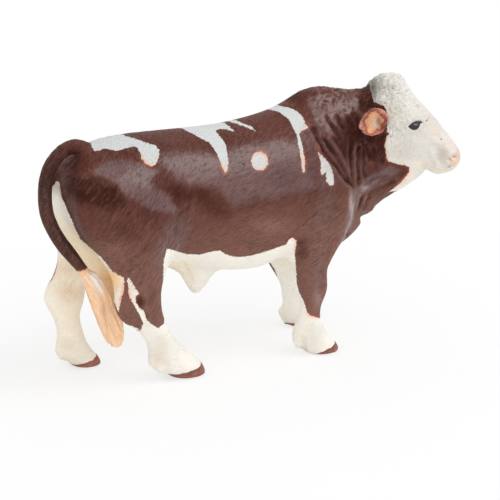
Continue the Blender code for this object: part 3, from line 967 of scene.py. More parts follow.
SHANK: Pixels = (
    (200, 318), (164.5, 323.3), (158.5, 328.4), (149.7, 323.0), (145.6, 318.0), (144.0, 311.0),
    (138.6, 307.0), (135.6, 302.0), (136.2, 296.4), (139.2, 294.0), (136.4, 289.6), (133.4, 284.6),
    (129.2, 278.0), (127.0, 277.6), (128.0, 287.6), (129.5, 297.7), (133.8, 304.9), (138.9, 313.6),
    (143.2, 322.6), (141.0, 330.4), (136, 332), (118, 332), (100, 410), (200, 410),
)
TOE: Pixels = ((340, 300), (380, 300), (380, 410), (340, 410))
BUTTOCK: Pixels = (
    (57.2, 180.7), (59.5, 182.5), (61.3, 196), (67.5, 211), (80, 238.8), (101.4, 257.5), (113, 272),
    (124, 278), (124, 290), (121.5, 298), (118.5, 312), (113, 300), (60, 300), (46.6, 293), (49.2, 284),
    (55.5, 266), (58.6, 250), (52, 240), (38, 215), (50, 190),
)
FACE: Pixels = (
    (369, 60), (366, 78), (369.9, 85.9), (370.8, 91), (374, 102), (379.3, 103.8), (384.6, 106.4),
    (386.5, 112), (387.3, 122), (386.8, 130.5), (388.7, 134), (386, 138.6), (384.6, 145.7), (386.4, 154.6),
    (387.3, 160.9), (393.6, 163), (400.7, 164.5), (409.2, 167), (409.2, 172.5), (402, 181), (395.6, 187),
    (387, 193.4), (381, 196.5), (400, 205), (480, 205), (480, 60),
)
EYE: Pixels = (
    (407.8, 126.8), (410.3, 124.4), (413, 122.3), (416, 120.9), (419, 120.5), (421.6, 121.4), (422.2, 123.2),
    (420.4, 123.4), (419.8, 125.8), (418.6, 128), (416.6, 129.6), (413.8, 130.3), (410.8, 128.9),
)
RIM_SPOTS = (
    (148, 161, 9, 9, 1.0), (224, 171, 6, 8, 1.0), (262, 155, 6, 6, 0.8), (265, 169, 8, 4, 0.5),
    (304, 163, 5, 14, 0.7), (324, 166, 10, 22, 0.25), (387, 150, 4, 20, 0.35), (400, 176, 15, 12, 0.8),
    (305, 126, 8, 8, 0.5), (118, 292, 10, 14, 0.7), (296, 244, 8, 12, 0.5), (312, 316, 8, 4, 0.8),
    (128, 300, 10, 10, 0.5), (259.6, 161, 12, 12, 0.5),
)


@dataclass(frozen=True)
class Zone:
    """A hazy area of the brown coat, by its outline in the picture: a sheen zone, varnished and tinted
    lighter as painted sheen, or a zone of painted shade.
    """

    outline: Pixels
    strength: float = 1.0
    haze: float = 1.5


SHEEN_ZONES = (
    Zone((
        (93.3, 171.9), (98.8, 165.3), (106.5, 160.9), (118.6, 159.8), (131.8, 162), (138.4, 162),
        (147.2, 167), (158, 171), (152, 176.3), (150, 184), (160.4, 190.6), (167, 195), (173.6, 203.8),
        (178, 210.4), (175.8, 213.7), (167, 213.2), (156, 210.4), (147.2, 207.1), (134, 199.4),
        (126.3, 196.1), (123, 191.7), (116.4, 185.1), (109.8, 180.7), (102.1, 178.5), (95.5, 175.2),
    ), 0.88, 1.3),
    Zone((
        (162.6, 154.3), (171.4, 152.1), (189, 152.7), (206.5, 154.3), (216.4, 158), (232, 150), (251.6, 146),
        (272.5, 142), (300, 142), (304, 160), (312, 174), (318, 186), (306, 190), (289, 192.8),
        (272.5, 197.2), (256, 199.4), (247.2, 202.7), (234, 204.9), (225, 195), (217.5, 187), (201, 186.5),
        (189, 184), (178, 179), (172.5, 173), (162.6, 163),
    ), 0.85, 2.2),
    Zone((
        (306, 100), (311, 95.5), (325, 94), (345, 95.5), (358, 98), (361, 103), (356, 110), (351, 113),
        (349.5, 119), (345.5, 112), (343.5, 113), (344.5, 121), (340, 117), (337, 111.5), (335, 113),
        (338, 123), (336, 127), (331, 120), (326.5, 113), (325, 115), (331, 127), (334, 134), (339, 137),
        (330, 136), (322, 130.5), (315, 121), (309, 110),
    ), 0.5, 0.5),
    Zone((
        (352, 196), (356, 188), (364, 181), (374, 174), (386, 169), (394, 167), (400, 170), (390, 176),
        (378, 181), (368, 187), (360, 196), (356, 206), (352, 218), (348, 232), (343, 240), (345, 226),
        (349, 212),
    ), 1.0, 0.9),
    Zone((
        (296, 112), (304, 122), (310, 140), (320, 156), (331, 168), (338, 184), (322, 190), (312, 176),
        (305, 150),
    ), 0.5),
    Zone(((325, 190), (336, 200), (333, 226), (326, 250), (318, 262), (310, 240), (312, 210)), 0.35, 3.0),
    Zone((
        (168, 222), (186, 216), (190, 232), (178, 250), (168, 262), (156, 280), (150, 268), (158, 244),
    ), 0.45, 2.0),
    Zone(((316, 262), (324, 256), (322, 280), (318, 306), (312, 308), (312, 284)), 0.5, 1.2),
    Zone(((46, 196), (50, 196), (52, 214), (62, 236), (80, 262), (76, 262), (57, 238), (48, 216)), 0.5, 0.8),
)
# Zones of painted shade on the brown coat, darker and less varnished.
PAINTED_SHADE_ZONES = (
    Zone((
        (70, 176), (90, 177), (102, 181), (115, 185), (121, 195), (126, 201.6), (121, 207), (103, 208),
        (90, 204), (76, 202), (66, 190),
    ), 1.0, 2.0),
    Zone(((167, 187), (175, 184), (184, 188.4), (196, 192), (194, 199.4), (178, 203), (170, 195)), 0.75, 2.8),
    Zone((
        (190, 190), (206.5, 189), (215.3, 198), (223, 206), (229, 215), (217.5, 217.5), (206.5, 212.5),
        (198.8, 203), (188, 198),
    ), 0.75, 3.2),
    Zone(((112, 226), (126.3, 223.6), (137, 228), (138.4, 239), (126.3, 242.3), (116.4, 238)), 0.35, 3.2),
    Zone((
        (139.5, 206), (151.6, 212.6), (164.8, 219.2), (156, 225.8), (145, 221.4), (138.4, 213.7),
    ), 0.35, 3.2),
    Zone((
        (333, 125), (338, 119), (342.5, 116), (346, 117), (352, 114), (358, 112), (359, 125), (362, 134),
        (371, 137.5), (385, 134), (385.5, 146), (384, 158), (386, 164), (377, 161), (366, 157), (355, 158),
        (345, 160), (336, 154), (328, 147), (322, 138), (330, 138), (337, 137), (336, 131),
    ), 1.0, 0.9),
    Zone((
        (359, 96), (366, 82), (371, 92), (375, 103), (385, 107), (387, 112), (378, 106.5), (368, 108),
        (361, 112), (358, 105),
    ), 1.0, 0.8),
    Zone(((326, 113), (331, 120), (336, 128), (338, 135), (332, 131), (328, 121)), 0.8, 0.3),
    Zone(((336, 112), (339, 117), (344, 123), (347, 126), (341, 124), (337.6, 118)), 0.8, 0.3),
    Zone(((64, 150), (78, 148), (82, 160), (76, 172), (66, 170)), 0.8, 2.0),
    Zone(((276, 90), (300, 90), (306, 98), (300, 104), (286, 100)), 0.6, 1.6),
    Zone(((136.5, 296.5), (142, 296), (145, 302), (142, 308), (137, 304)), 0.8, 1.2),
    Zone(((296, 240), (304, 240), (308, 252), (300, 262), (296.5, 254)), 0.6, 1.2),
    Zone(((46, 190), (58, 184), (62, 200), (72, 222), (84, 244), (80, 262), (60, 240), (48, 214)), 0.5, 1.5),
    Zone(((270, 172), (284, 166), (298, 168), (302, 184), (288, 190), (274, 186)), 0.3, 2.4),
)


def cover(pixels: Array, zones: Sequence[Zone]) -> Array:
    """How much of a hazy zone lies at each place.

    Args:
        pixels: Picture places, one a row.
        zones: The areas that have it.

    Returns:
        Shares from 0 to 1.
    """
    share = np.zeros(len(pixels))
    for zone in zones:
        depth = inside(pixels, zone.outline)
        share = np.maximum(share, smoothstep(depth, -zone.haze, zone.haze) * zone.strength)
    return share


def weigh(pixels: Array, spots: Sequence[tuple[float, ...]]) -> Array:
    """Adds soft spots up.

    Args:
        pixels: Picture places, one a row.
        spots: Each spot's place, reach and strength.

    Returns:
        Their sum at each place.
    """
    return sum(bell(pixels, (x, y), (wide, high)) * strength for x, y, wide, high, strength in spots)


def blend(colours: Array, share: Array, colour: Colour) -> Array:
    """Mixes a display colour into linear ones, by a share for each point."""
    return colours * (1 - share)[:, None] + np.array(linear(*colour)) * share[:, None]


@dataclass(frozen=True)
class Mark:
    """A small soft spot of colour, by its place in the picture; some are tints of the paint, others are
    painted light and shade.
    """

    place: tuple[float, float]
    reach: tuple[float, float]
    colour: Colour
    strength: float = 1.0


def touched(colours: Array, pixels: Array, marks: Sequence[Mark], where: Array | float = 1.0) -> Array:
    """Lays soft spots of colour over colours.

    Args:
        colours: Linear colours, one a row.
        pixels: Picture places, one a row.
        marks: What is laid on, in order.
        where: How much of it each point takes.

    Returns:
        The new colours.
    """
    for mark in marks:
        share = where * np.minimum(bell(pixels, mark.place, mark.reach) * mark.strength, 1)
        colours = blend(colours, share, mark.colour)
    return colours


MARKS = tuple(Mark(*row) for row in (
    # The next five marks are painted shade on the forehead, the nose and the poll.
    ((432, 122), (22, 20), (220, 212, 203), 0.85),
    ((450, 146), (12, 8), (222, 212, 203), 0.8),
    ((394, 110), (9, 14), (204, 200, 180), 0.5),
    ((382, 84), (11, 13), (196, 193, 184), 0.5),
    ((373, 88), (6, 14), (100, 96, 88), 0.85),
    ((398, 148), (12, 12), (228, 218, 204), 0.5),
    # The next two marks are painted light, lightening the shaded jaw and throat.
    ((418, 163), (9, 5), (255, 242, 224), 0.7),
    ((394, 188), (12, 8), (255, 246, 232), 0.9),
    ((436.4, 133.5), (4.5, 4.5), (226, 208, 192), 0.6),
    ((452, 139), (6, 6), (236, 222, 222), 0.6),
    ((430, 146), (5, 3), (222, 222, 208), 0.5),
    # Painted shade in the groove behind the nostril.
    ((441.6, 155.5), (4.5, 7.5), (200, 186, 166), 0.7),
    ((459, 154), (3.5, 10), (228, 192, 176), 0.8),
    ((453.3, 161.4), (5, 5), (250, 206, 168), 0.75),
    ((449.6, 158.6), (1.7, 1.0), (196, 156, 112), 0.9),
    ((454.2, 156.8), (1.7, 0.8), (150, 122, 92), 0.95),
    ((449.2, 166.9), (1.0, 0.6), (120, 82, 64), 1.0),
    ((452.5, 165.2), (2.6, 0.6), (214, 170, 142), 0.6),
    ((441.6, 171.5), (8, 2.5), (250, 236, 206), 0.7),
    ((426.6, 120.6), (0.8, 0.7), (70, 50, 40), 1.1),
    ((427.6, 119.3), (0.6, 0.6), (130, 110, 96), 0.9),
    ((441.3, 139.0), (0.75, 0.7), (60, 44, 34), 1.1),
    ((390.7, 136.5), (0.7, 0.6), (80, 54, 44), 1.0),
    ((418, 106), (1.8, 1.0), (180, 172, 152), 0.7),
    # Painted light on the shaded strip at the rear.
    ((84, 246), (14, 16), (255, 232, 198), 0.5),
    ((110, 279), (9, 11), (244, 198, 146), 0.9),
    ((131, 288), (5, 7), (226, 196, 176), 0.4),
    ((150, 324), (7, 6), (232, 222, 206), 0.4),
    # Painted shade on the near hind fetlock.
    ((159, 359), (7, 8), (226, 206, 178), 0.6),
    # Painted light on the shaded sheath.
    ((180, 266), (12, 5), (255, 238, 206), 0.7),
    ((190, 276), (6, 8), (248, 232, 204), 0.5),
    # The next four marks are painted shade on the near legs.
    ((176, 346), (10, 12), (232, 232, 226), 0.6),
    ((163, 344), (9, 12), (228, 221, 206), 0.7),
    ((315, 336), (9, 12), (222, 212, 197), 0.75),
    ((312, 328), (7, 6), (222, 212, 197), 0.5),
    # The next two marks are painted light under the throat and the chin.
    ((410, 178), (8, 7), (255, 240, 220), 0.6),
    ((430, 166), (8, 4), (252, 234, 208), 0.5),
    ((115.5, 283), (6, 12), (252, 210, 156), 0.8),
    # The next two marks are painted shade on the near fore pastern and heel.
    ((318, 330), (8, 8), (232, 231, 226), 0.6),
    ((304, 340), (5, 8), (236, 222, 200), 0.6),
))
COAT_MARKS = tuple(Mark(*row) for row in (
    ((319, 150), (3, 6), (146, 70, 50), 0.8),
    # The next two marks are painted highlights on the ridges of the brisket.
    ((351, 204), (1.8, 10), (212, 190, 184), 0.75),
    ((365, 188), (5, 2.5), (206, 176, 170), 0.75),
    ((366, 200), (3.5, 5), (176, 122, 104), 0.7),
    # The next three marks are painted light, lighter brown on the lower ribs, the knee and the thigh.
    ((270, 226), (16, 8), (152, 112, 100), 0.6),
    ((318, 300), (4.5, 9), (172, 140, 134), 0.6),
    ((115, 250), (14, 9), (156, 112, 96), 0.5),
    # The next two marks are painted shade on the withers and the side of the neck.
    ((308, 92), (10, 4), (66, 36, 32), 0.5),
    ((345, 166), (10, 8), (78, 40, 32), 0.3),
    ((140, 301), (3, 4), (96, 48, 34), 0.6),
))
FAR_MARKS = tuple(Mark(*row) for row in (
    # Painted light: the far fore leg, in the body's shade, made lighter.
    ((285, 296), (9, 30), (255, 251, 241), 0.8),
    # The next four marks are painted shade, warm and darker, at the far hock and fetlock.
    ((68, 292), (12, 10), (236, 206, 170), 0.65),
    ((61, 268), (8, 12), (238, 208, 176), 0.6),
    ((72, 268), (8, 8), (226, 204, 178), 0.4),
    ((68, 345), (7, 6), (232, 216, 188), 0.5),
    # The next three marks are painted light on the shaded far shin and far fore leg.
    ((72, 318), (10, 12), (250, 238, 214), 0.6),
    ((284, 318), (4, 8), (255, 242, 222), 0.6),
    ((290, 262), (14, 10), (255, 244, 220), 0.5),
))


CREST = ((34, 0, 82), (12, 12, 9))
RUMP = ((-44, 0, 52), (22, 60, 34))
CHEST = ((44, 0, 60), (13, 60, 24))
UPPER_ARM = ((21, 0, 48), (15, 60, 40))
SAC = ((-45, SYMMETRY.middle, 38), (7, 8, 6))
POLL = ((-2, 0, 10), (8, 14, 10))
CHEEK = ((391, 148), (11, 18))
# Where the painted grey glint sits on the eye.
EYE_GLINT_SPOT = ((415.8, 124.6), (3.4, 1.3))
FAR_HOCK_EDGE = ((51, 270), (10, 15))
FAR_KNEE_EDGE = ((271, 270), (6, 10))
# Painted light: lightens the far hind hoof, which lies in shade.
HOOF_GLOW = Mark((90, 364), (10, 7), (204, 132, 114), 0.7)


@dataclass
class Painter:
    """Lays the coats of paint on the skin, with painted light and shade in them, as values that the finish
    reads.

    The heights and lengths bound the inner sides of the legs and the underside, which are left pale.
    The brinks say how far the rear of a far leg, its front and a near leg turn before they count as
    inner sides.
    """

    surface: Surface
    relief: Array
    folds: Array
    mottle: Noise = field(default_factory=lambda: Noise(7))
    depth: float = 4.0
    thigh_top: float = 56.0
    thigh_blend: float = 44.0
    chest_front: float = 40.0
    rump_front: float = -34.0
    belly_top: float = 46.0
    belly_front: float = 30.0
    pastern_top: float = 8.0
    brinks: Triple = (0.12, -0.15, 0.18)
    hoof_shares: tuple[float, ...] = (0.25, 0.4, 0.55, 0.7, 0.85, 1.0)
    hoof_heights: tuple[float, ...] = (-0.6, 0.9, 2.0, 2.5, 3.1, 4.4)

    def paint(self) -> dict[str, Array]:
        """Works out each coat.

        Returns:
            Values or colours for each point of the skin, by attribute name.
        """
        points = self.surface.points
        self.soft_normals = self.surface.blurred(self.surface.normals, 6)
        folded, facing = SYMMETRY.near(points, self.soft_normals)
        pixels = VIEW.pixels(folded)
        loose = pixels + self.mottle.drift(folded / 2.6, (0, 31)) * 2.2
        self.sheen, self.painted_shade = cover(loose, SHEEN_ZONES), cover(loose, PAINTED_SHADE_ZONES)
        head = before_throat(folded)
        hoof = self.hooves(points)
        rump, chest = bell(folded, *RUMP) * 1.5, bell(folded, *CHEST) * 1.5
        arm = bell(folded, *UPPER_ARM) * 1.3
        varnish = 0.22 + self.sheen * 0.7 - self.painted_shade * 0.2
        varnish = varnish * (1 + self.relief * bell(folded, *CREST) * 2.2)
        coat = np.maximum(self.coat(folded, facing, pixels, head), hoof)
        return {
            "coat": coat,
            "relief": self.relief,
            "eye": self.eyes(pixels, HEAD.local(folded), head),
            "rim": np.where(hoof > -1, 0.0, weigh(pixels, RIM_SPOTS)),
            "wool_shade_and_eye_glint": self.wool_shade_and_eye_glint(head, pixels),
            "polish": np.clip(varnish, 0, 1),
            "haunch": np.clip(rump + chest, 0, 1),
            "shoulder": np.clip(arm, 0, 1) * (1 - np.clip(chest, 0, 1)),
            "dark_coat": self.dark(pixels, hoof),
            "light_coat": self.light(folded, pixels, head),
        }

    def coat(self, folded: Array, facing: Array, pixels: Array, head: Array) -> Array:
        """How far inside the brown coat each point is.

        Args:
            folded: Places, all on the near side.
            facing: Outward directions there.
            pixels: Picture places.
            head: Which points belong to the head and throat.

        Returns:
            Signed distances.
        """
        points = self.surface.points
        along, _, height = points.T
        far = points[:, 1] > SYMMETRY.centre(points)
        coat = np.full(len(points), self.depth)
        for patch in (*BACK_PATCHES, BELLY, SHANK, TOE, BUTTOCK):
            coat = np.minimum(coat, -inside(pixels, patch))
        toward = self.soft_normals @ VIEW.back
        backward = self.soft_normals[:, 0] < 0
        behind, before, near = self.brinks
        brink = np.where(backward, behind, before)
        inner = np.where(far, brink - toward, facing @ VIEW.back + near) * 5
        inner = inner + np.maximum(height - self.thigh_blend, 0) * 0.9
        legs = ((facing[:, 1] > 0.1) | far) & (height < self.thigh_top) & (along < self.chest_front)
        inner = np.where(legs, inner, self.depth)
        seen = VIEW.pixels(points)
        rear = (along < self.rump_front) & (far | (facing[:, 1] > 0.2))
        cleft = np.where(rear, inside(seen, BUTTOCK), -self.depth)
        under = (facing[:, 2] < -0.5) & (height < self.belly_top) & (along < self.belly_front)
        under = np.where(under, (facing[:, 2] + 0.75) * 8, self.depth)
        coat = np.minimum.reduce([coat, inner, -cleft, under])
        edge = np.maximum(bell(seen, *FAR_HOCK_EDGE), bell(seen, *FAR_KNEE_EDGE)) * far * backward
        coat = np.where(edge > 0.1, np.maximum(coat, (0.42 * np.minimum(edge * 1.6, 1) - toward) * 5), coat)
        coat = np.where(head, -inside(pixels, FACE), coat)
        return np.where(height < self.pastern_top, np.minimum(coat, -2), coat)

    def hooves(self, points: Array) -> Array:
        """How far inside a painted hoof each point is.

        Args:
            points: Places of the skin.

        Returns:
            Signed distances.
        """
        found = np.full(len(points), -FAR)
        for name in LEGS:
            low, high = (np.array(corner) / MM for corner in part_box(name))
            mine = (points[:, :2] > low[:2] - 1).all(1) & (points[:, :2] < high[:2] + 1).all(1)
            toe = (points[:, 0] - low[0]) / (high[0] - low[0])
            top = np.interp(toe, self.hoof_shares, self.hoof_heights)
            found = np.where(mine, np.maximum(found, top - points[:, 2]), found)
        return np.maximum(found, -4)

    def eyes(self, pixels: Array, local: Array, head: Array) -> Array:
        """How far inside an eye each point is."""
        near = head & (np.abs(local[:, 0] - 11.5) < 7)
        return np.where(near, inside(pixels, EYE), -2.0)

    def wool_shade_and_eye_glint(self, head: Array, pixels: Array) -> Array:
        """Painted shade in the hollows of the wool, and the painted grey glint on the eye."""
        eye_glint_share = bell(pixels, *EYE_GLINT_SPOT) * (inside(pixels, EYE) > 0)
        return np.maximum(np.clip(-self.relief, 0, 1), eye_glint_share) * head

    def dark(self, pixels: Array, hoof: Array) -> Array:
        """The colour of the brown coat, with painted sheen, painted shade and painted highlights laid in."""
        points = self.surface.points
        # Painted light: the brown is lighter towards the bottom, for the light that the floor bounces up.
        low = fade(points[:, 2], 34, 62)
        colour = blend(np.array(linear(96, 53, 43)), low, (136, 95, 83))
        # Painted sheen: the sheen zones are tinted towards a light purple-grey, on top of their varnish.
        colour = blend(colour, self.sheen * 0.5, (118, 90, 91))
        # Painted shade: the dark zones are darkened towards a deep red-brown.
        colour = blend(colour, self.painted_shade * 0.9, (62, 27, 18))
        colour = touched(colour, pixels, COAT_MARKS)
        # Painted shade in the grooves of the folds, and painted highlight on their ridges.
        colour = blend(colour, np.clip(-self.folds * 1.8, 0, 0.85), (50, 20, 14))
        colour = blend(colour, np.clip(self.folds * 1.2, 0, 0.4), (140, 108, 104))
        horn = np.array(linear(166, 108, 94)) * (1 + 0.22 * self.mottle(points / (1.1, 1.1, 2.4)))[:, None]
        horn = blend(horn, fade(np.abs(hoof - 0.3), 0, 0.7) * 0.5, (92, 56, 44))
        horn = touched(horn, VIEW.pixels(points), (HOOF_GLOW,))
        return np.where((hoof > -1)[:, None], horn, colour)

    def light(self, folded: Array, pixels: Array, head: Array) -> Array:
        """The colour of the white coat, with painted light and shade laid in."""
        points = self.surface.points
        near = head | (points[:, 1] < SYMMETRY.centre(points))
        # Cool grey-white above, bright cream lower down: the cream is the paint's tint, and the lightening
        # towards the bottom is painted light for the floor's bounce.
        low = fade(folded[:, 2], 42, 62)
        colour = blend(np.array(linear(207, 210, 208)), low, (251, 246, 236))
        colour = np.where(head[:, None], np.array(linear(231, 228, 221)), colour)
        # Painted light: the far hind leg's inner side, which lies in the body's shade, is made lighter and
        # warmer.
        hind = fade(folded[:, 2], 34, 46) * smoothstep(points[:, 1], 9, 13) * fade(folded[:, 0], -34, -20)
        colour = blend(colour, hind * 0.6, (255, 243, 220))
        height = points[:, 2]
        # Painted light: the rear strip between the thighs, which lies in shade, is made lighter.
        rear = fade(points[:, 0], -50, -44) * fade(np.abs(points[:, 1] - SYMMETRY.middle), 6, 13)
        rear = rear * smoothstep(height, 28, 34) * fade(height, 64, 67)
        colour = blend(colour, rear, (255, 250, 234))
        # Painted shade at the top of the rear strip, under the root of the tail.
        colour = blend(colour, rear * smoothstep(height, 57, 62), (204, 194, 176))
        colour = blend(colour, rear * fade(height, 47, 54), (255, 240, 210))
        colour = blend(colour, bell(points, *SAC), (250, 214, 166))
        colour = touched(colour, pixels, MARKS, near)
        return touched(colour, VIEW.pixels(points), FAR_MARKS, ~near)


@dataclass
class Parting:
    """Parts the painted skin again into the pieces that the mouldings are.

    The cut of the neck is made only in front of and above a place, and that of the tail only behind
    and above one.
    """

    seam: float = 28.15
    seam_band: tuple[float, float] = (26.0, 28.9)
    clearance: float = 2.5
    neck: Triple = (45.0, -11.6, 68.7)
    neck_way: Triple = (0.842, -0.42, 0.337)
    neck_from: tuple[float, float] = (25.0, 40.0)
    tail_from: tuple[float, float] = (-50.0, 66.0)

    def cut(self, mesh: BMesh, place: Vector, way: Vector, mine: Callable[[Vector], bool]) -> None:
        """Cuts the skin on a plane, only where it is told to.

        Args:
            mesh: The skin.
            place: A point of the plane.
            way: The plane's own direction.
            mine: Says of a face's middle whether the cut is meant for it.
        """
        near = [face for face in mesh.faces if abs((face.verts[0].co - place).dot(way)) < 2]
        faces = [face for face in near if mine(face.verts[0].co)]
        edges = {edge for face in faces for edge in face.edges}
        verts = {vertex for face in faces for vertex in face.verts}
        geom = [*verts, *edges, *faces]
        made = bmesh.ops.bisect_plane(mesh, geom=geom, dist=0.0005, plane_co=place, plane_no=way)
        rim = [part for part in made["geom_cut"] if isinstance(part, BMEdge)]
        bmesh.ops.split_edges(mesh, edges=rim)

    def leg_boxes(self) -> dict[str, tuple[Array, Array]]:
        """The corners of the space in which each leg crosses the seam."""
        boxes = {}
        for name in LEGS:
            corners = np.array([tuple(v.co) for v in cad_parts[name].data.vertices]) / MM
            top = corners[(corners[:, 2] > self.seam_band[0]) & (corners[:, 2] < self.seam_band[1])]
            boxes[name] = (top.min(0) - self.clearance, top.max(0) + self.clearance)
        return boxes

    def part(self, mesh: BMesh) -> dict[str, BMesh]:
        """Cuts and closes the pieces.

        Args:
            mesh: The painted skin, which is used up.

        Returns:
            The pieces by the name of the node that each stands for.
        """
        boxes = self.leg_boxes()
        middles = {name: Vector((*((low + high) / 2)[:2], 20)) for name, (low, high) in boxes.items()}
        for low, high in boxes.values():
            self.cut(
                mesh,
                Vector((0, 0, self.seam)),
                Vector((0, 0, 1)),
                lambda co, low=low, high=high: low[0] < co.x < high[0] and low[1] < co.y < high[1],
            )
        neck, way = Vector(self.neck), Vector(self.neck_way).normalized()
        tail, tail_way = Vector(TAIL.place), Vector(TAIL.way).normalized()
        self.cut(mesh, neck, way, lambda co: co.x > self.neck_from[0] and co.z > self.neck_from[1])
        self.cut(mesh, tail, tail_way, lambda co: co.x < self.tail_from[0] and co.z > self.tail_from[1])
        close(mesh)
        pieces = {}
        for island in islands(mesh):
            middle = sum((v.co for v in island), Vector()) / len(island)
            name = "torso"
            if middle.z < self.seam:
                name = min(LEGS, key=lambda leg: (middles[leg] - middle).length)
            elif (middle - neck).dot(way) > 2:
                name = "head"
            if name in pieces:
                LOG.info("%d points past the tail's seam left out", len(island))
                continue
            pieces[name] = self.lifted(mesh, island)
        mesh.free()
        return pieces

    def lifted(self, mesh: BMesh, island: list[BMVert]) -> BMesh:
        """A copy of the mesh with only one of its pieces, ready to be handed over."""
        piece = mesh.copy()
        keep = {vertex.index for vertex in island}
        bmesh.ops.delete(piece, geom=[v for v in piece.verts if v.index not in keep], context="VERTS")
        bmesh.ops.triangulate(piece, faces=[f for f in piece.faces if len(f.verts) > 4])
        bmesh.ops.recalc_face_normals(piece, faces=piece.faces)
        return piece


def kept(mesh: BMesh, values: dict[str, Array]) -> None:
    """Keeps values on a mesh's points, so that cuts carry them along.

    Args:
        mesh: The mesh.
        values: Numbers or colours for each point, by name.
    """
    for name, column in values.items():
        kind = mesh.verts.layers.float_vector if column.ndim == 2 else mesh.verts.layers.float
        layer = kind.new(name)
        for vertex, value in zip(mesh.verts, column.tolist()):
            vertex[layer] = value


@dataclass
class Studio:
    """Floor, light and background."""

    floor_size: float = 6.0
    floor: Colour = (0.93, 0.93, 0.93)
    sky_strength: float = 0.79
    key_strength: float = 4.3
    key_size: float = 0.92
    key_way: Triple = (0.42, -0.42, 0.8)
    distance: float = 1.1
    fill_strength: float = 1.9
    fill_size: float = 0.8
    fill_way: Triple = (-0.5, -0.84, 0.2)
    shadow_share: float = 0.7
    shadow_reach: tuple[float, float] = (0.07, 0.2)

    def build(self) -> None:
        """Makes the stage."""
        bpy.context.scene.view_settings.view_transform = "Standard"
        self.room()
        self.ground()
        self.lamp("softbox", self.key_strength, self.key_size, self.key_way)
        self.lamp("reflector", self.fill_strength, self.fill_size, self.fill_way)

    def room(self) -> None:
        """Makes a soft room that shows as white."""
        world = bpy.data.worlds.new("soft_white_room")
        bpy.context.scene.world = world
        world.use_nodes = True
        nodes = Nodes(world.node_tree)
        soft = nodes.node("ShaderNodeBackground", {}, {"Color": (1, 1, 1, 1), "Strength": self.sky_strength})
        white = nodes.node("ShaderNodeBackground", {}, {"Color": (1, 1, 1, 1), "Strength": 1.0})
        nodes.end(nodes.node("ShaderNodeMixShader", {}, {0: nodes.shown(), 1: soft, 2: white}))

    def ground(self) -> None:
        """Makes a pale floor that keeps a faint shadow near the figure."""
        mesh = bmesh.new()
        bmesh.ops.create_grid(mesh, x_segments=1, y_segments=1, size=self.floor_size / 2)
        floor = placed("floor", mesh_data("floor", mesh))
        shader = Shader("pale_floor")
        shader.feed("Base Color", (*self.floor, 1))
        shader.feed("Roughness", 0.9)
        shader.feed("Specular IOR Level", 0.0)
        places = shader.node("ShaderNodeTexCoord", {}, {}, "Object")
        away = shader.node("ShaderNodeVectorMath", {"operation": "LENGTH"}, {0: places}, "Value")
        share = self.shadow_share + away.step(*self.shadow_reach) * (1.0 - self.shadow_share)
        paint = Socket(shader, shader.surface.outputs["BSDF"])
        white = shader.node("ShaderNodeEmission", {}, {"Color": (1, 1, 1, 1), "Strength": 1.0})
        shader.end(shader.node("ShaderNodeMixShader", {}, {0: shader.shown() * share, 1: paint, 2: white}))
        floor.data.materials.append(shader.material)

    def lamp(self, name: str, strength: float, size: float, toward: Sequence[float]) -> None:
        """Hangs one softbox, which the camera doesn't show.

        Args:
            name: The lamp's name.
            strength: Its power, in watts.
            size: Its width, in metres.
            toward: Where it hangs, from the figure.
        """
        data = bpy.data.lights.new(name, "AREA")
        data.shape = "DISK"
        data.size = size
        data.energy = strength
        lamp = placed(name, data)
        way = Vector(toward).normalized()
        aim(lamp, way * self.distance, -way)
        lamp.visible_camera = False


@dataclass(frozen=True)
class Crease:
    """A fold engraved along a line of the picture, with a swelling beside it.

    A negative depth raises a ridge instead.
    """

    line: Pixels
    reach: float
    depth: float
    both: bool = True


NECK_FOLDS = tuple(Crease(*row) for row in (
    ((
        (313, 129), (317, 138), (322.7, 149.4), (329, 159), (336, 166.7), (343, 176), (350.5, 184),
    ), 0.8, 0.75),
    (((310, 131), (314.5, 141), (320, 151), (326, 160), (333.5, 168.5), (341, 178)), 1.1, -0.45),
    (((324, 139), (332, 151), (340, 163), (347, 175), (352, 186)), 0.7, 0.5),
    (((330, 138), (337, 149), (344, 161), (349, 171)), 0.8, -0.35),
    (((326.5, 117), (331, 124), (336, 131), (340, 138)), 0.8, 0.5),
    (((337, 117), (340, 122), (343, 127)), 0.7, 0.4),
    (((347, 116), (349, 121), (352, 126)), 0.6, 0.35),
    (((319, 122), (322, 128), (327, 134)), 0.7, 0.4),
    (((351.4, 141), (350.6, 155), (351.5, 170), (353, 186), (352, 200)), 0.75, 0.6),
    (((354.5, 146), (354.5, 160), (355.5, 176)), 0.9, -0.35),
    (((358, 148), (357.5, 163), (358, 177), (359.5, 190)), 0.7, 0.5),
    (((362.5, 142), (363, 152), (364, 166), (365, 178)), 0.6, 0.3),
    (((366, 146), (367.5, 152), (370, 159)), 0.6, 0.4),
    (((373, 150), (374, 160), (377, 170)), 0.6, 0.3),
    (((379, 183), (369, 188), (359, 193), (352, 201)), 1.2, -0.5),
    (((386, 176), (374, 180), (364, 186)), 0.8, 0.4),
    (((352, 190), (350.5, 205), (348, 220), (343, 233), (337, 243)), 1.5, -0.55),
    (((356, 196), (354.5, 209), (351.5, 222), (346, 236)), 0.9, 0.6),
    (((364, 192), (361, 202), (357, 214)), 0.8, 0.45),
    (((371, 188), (368.5, 198), (364, 208)), 0.9, 0.4),
    (((393, 182), (384, 187), (374, 191)), 0.8, 0.4),
))
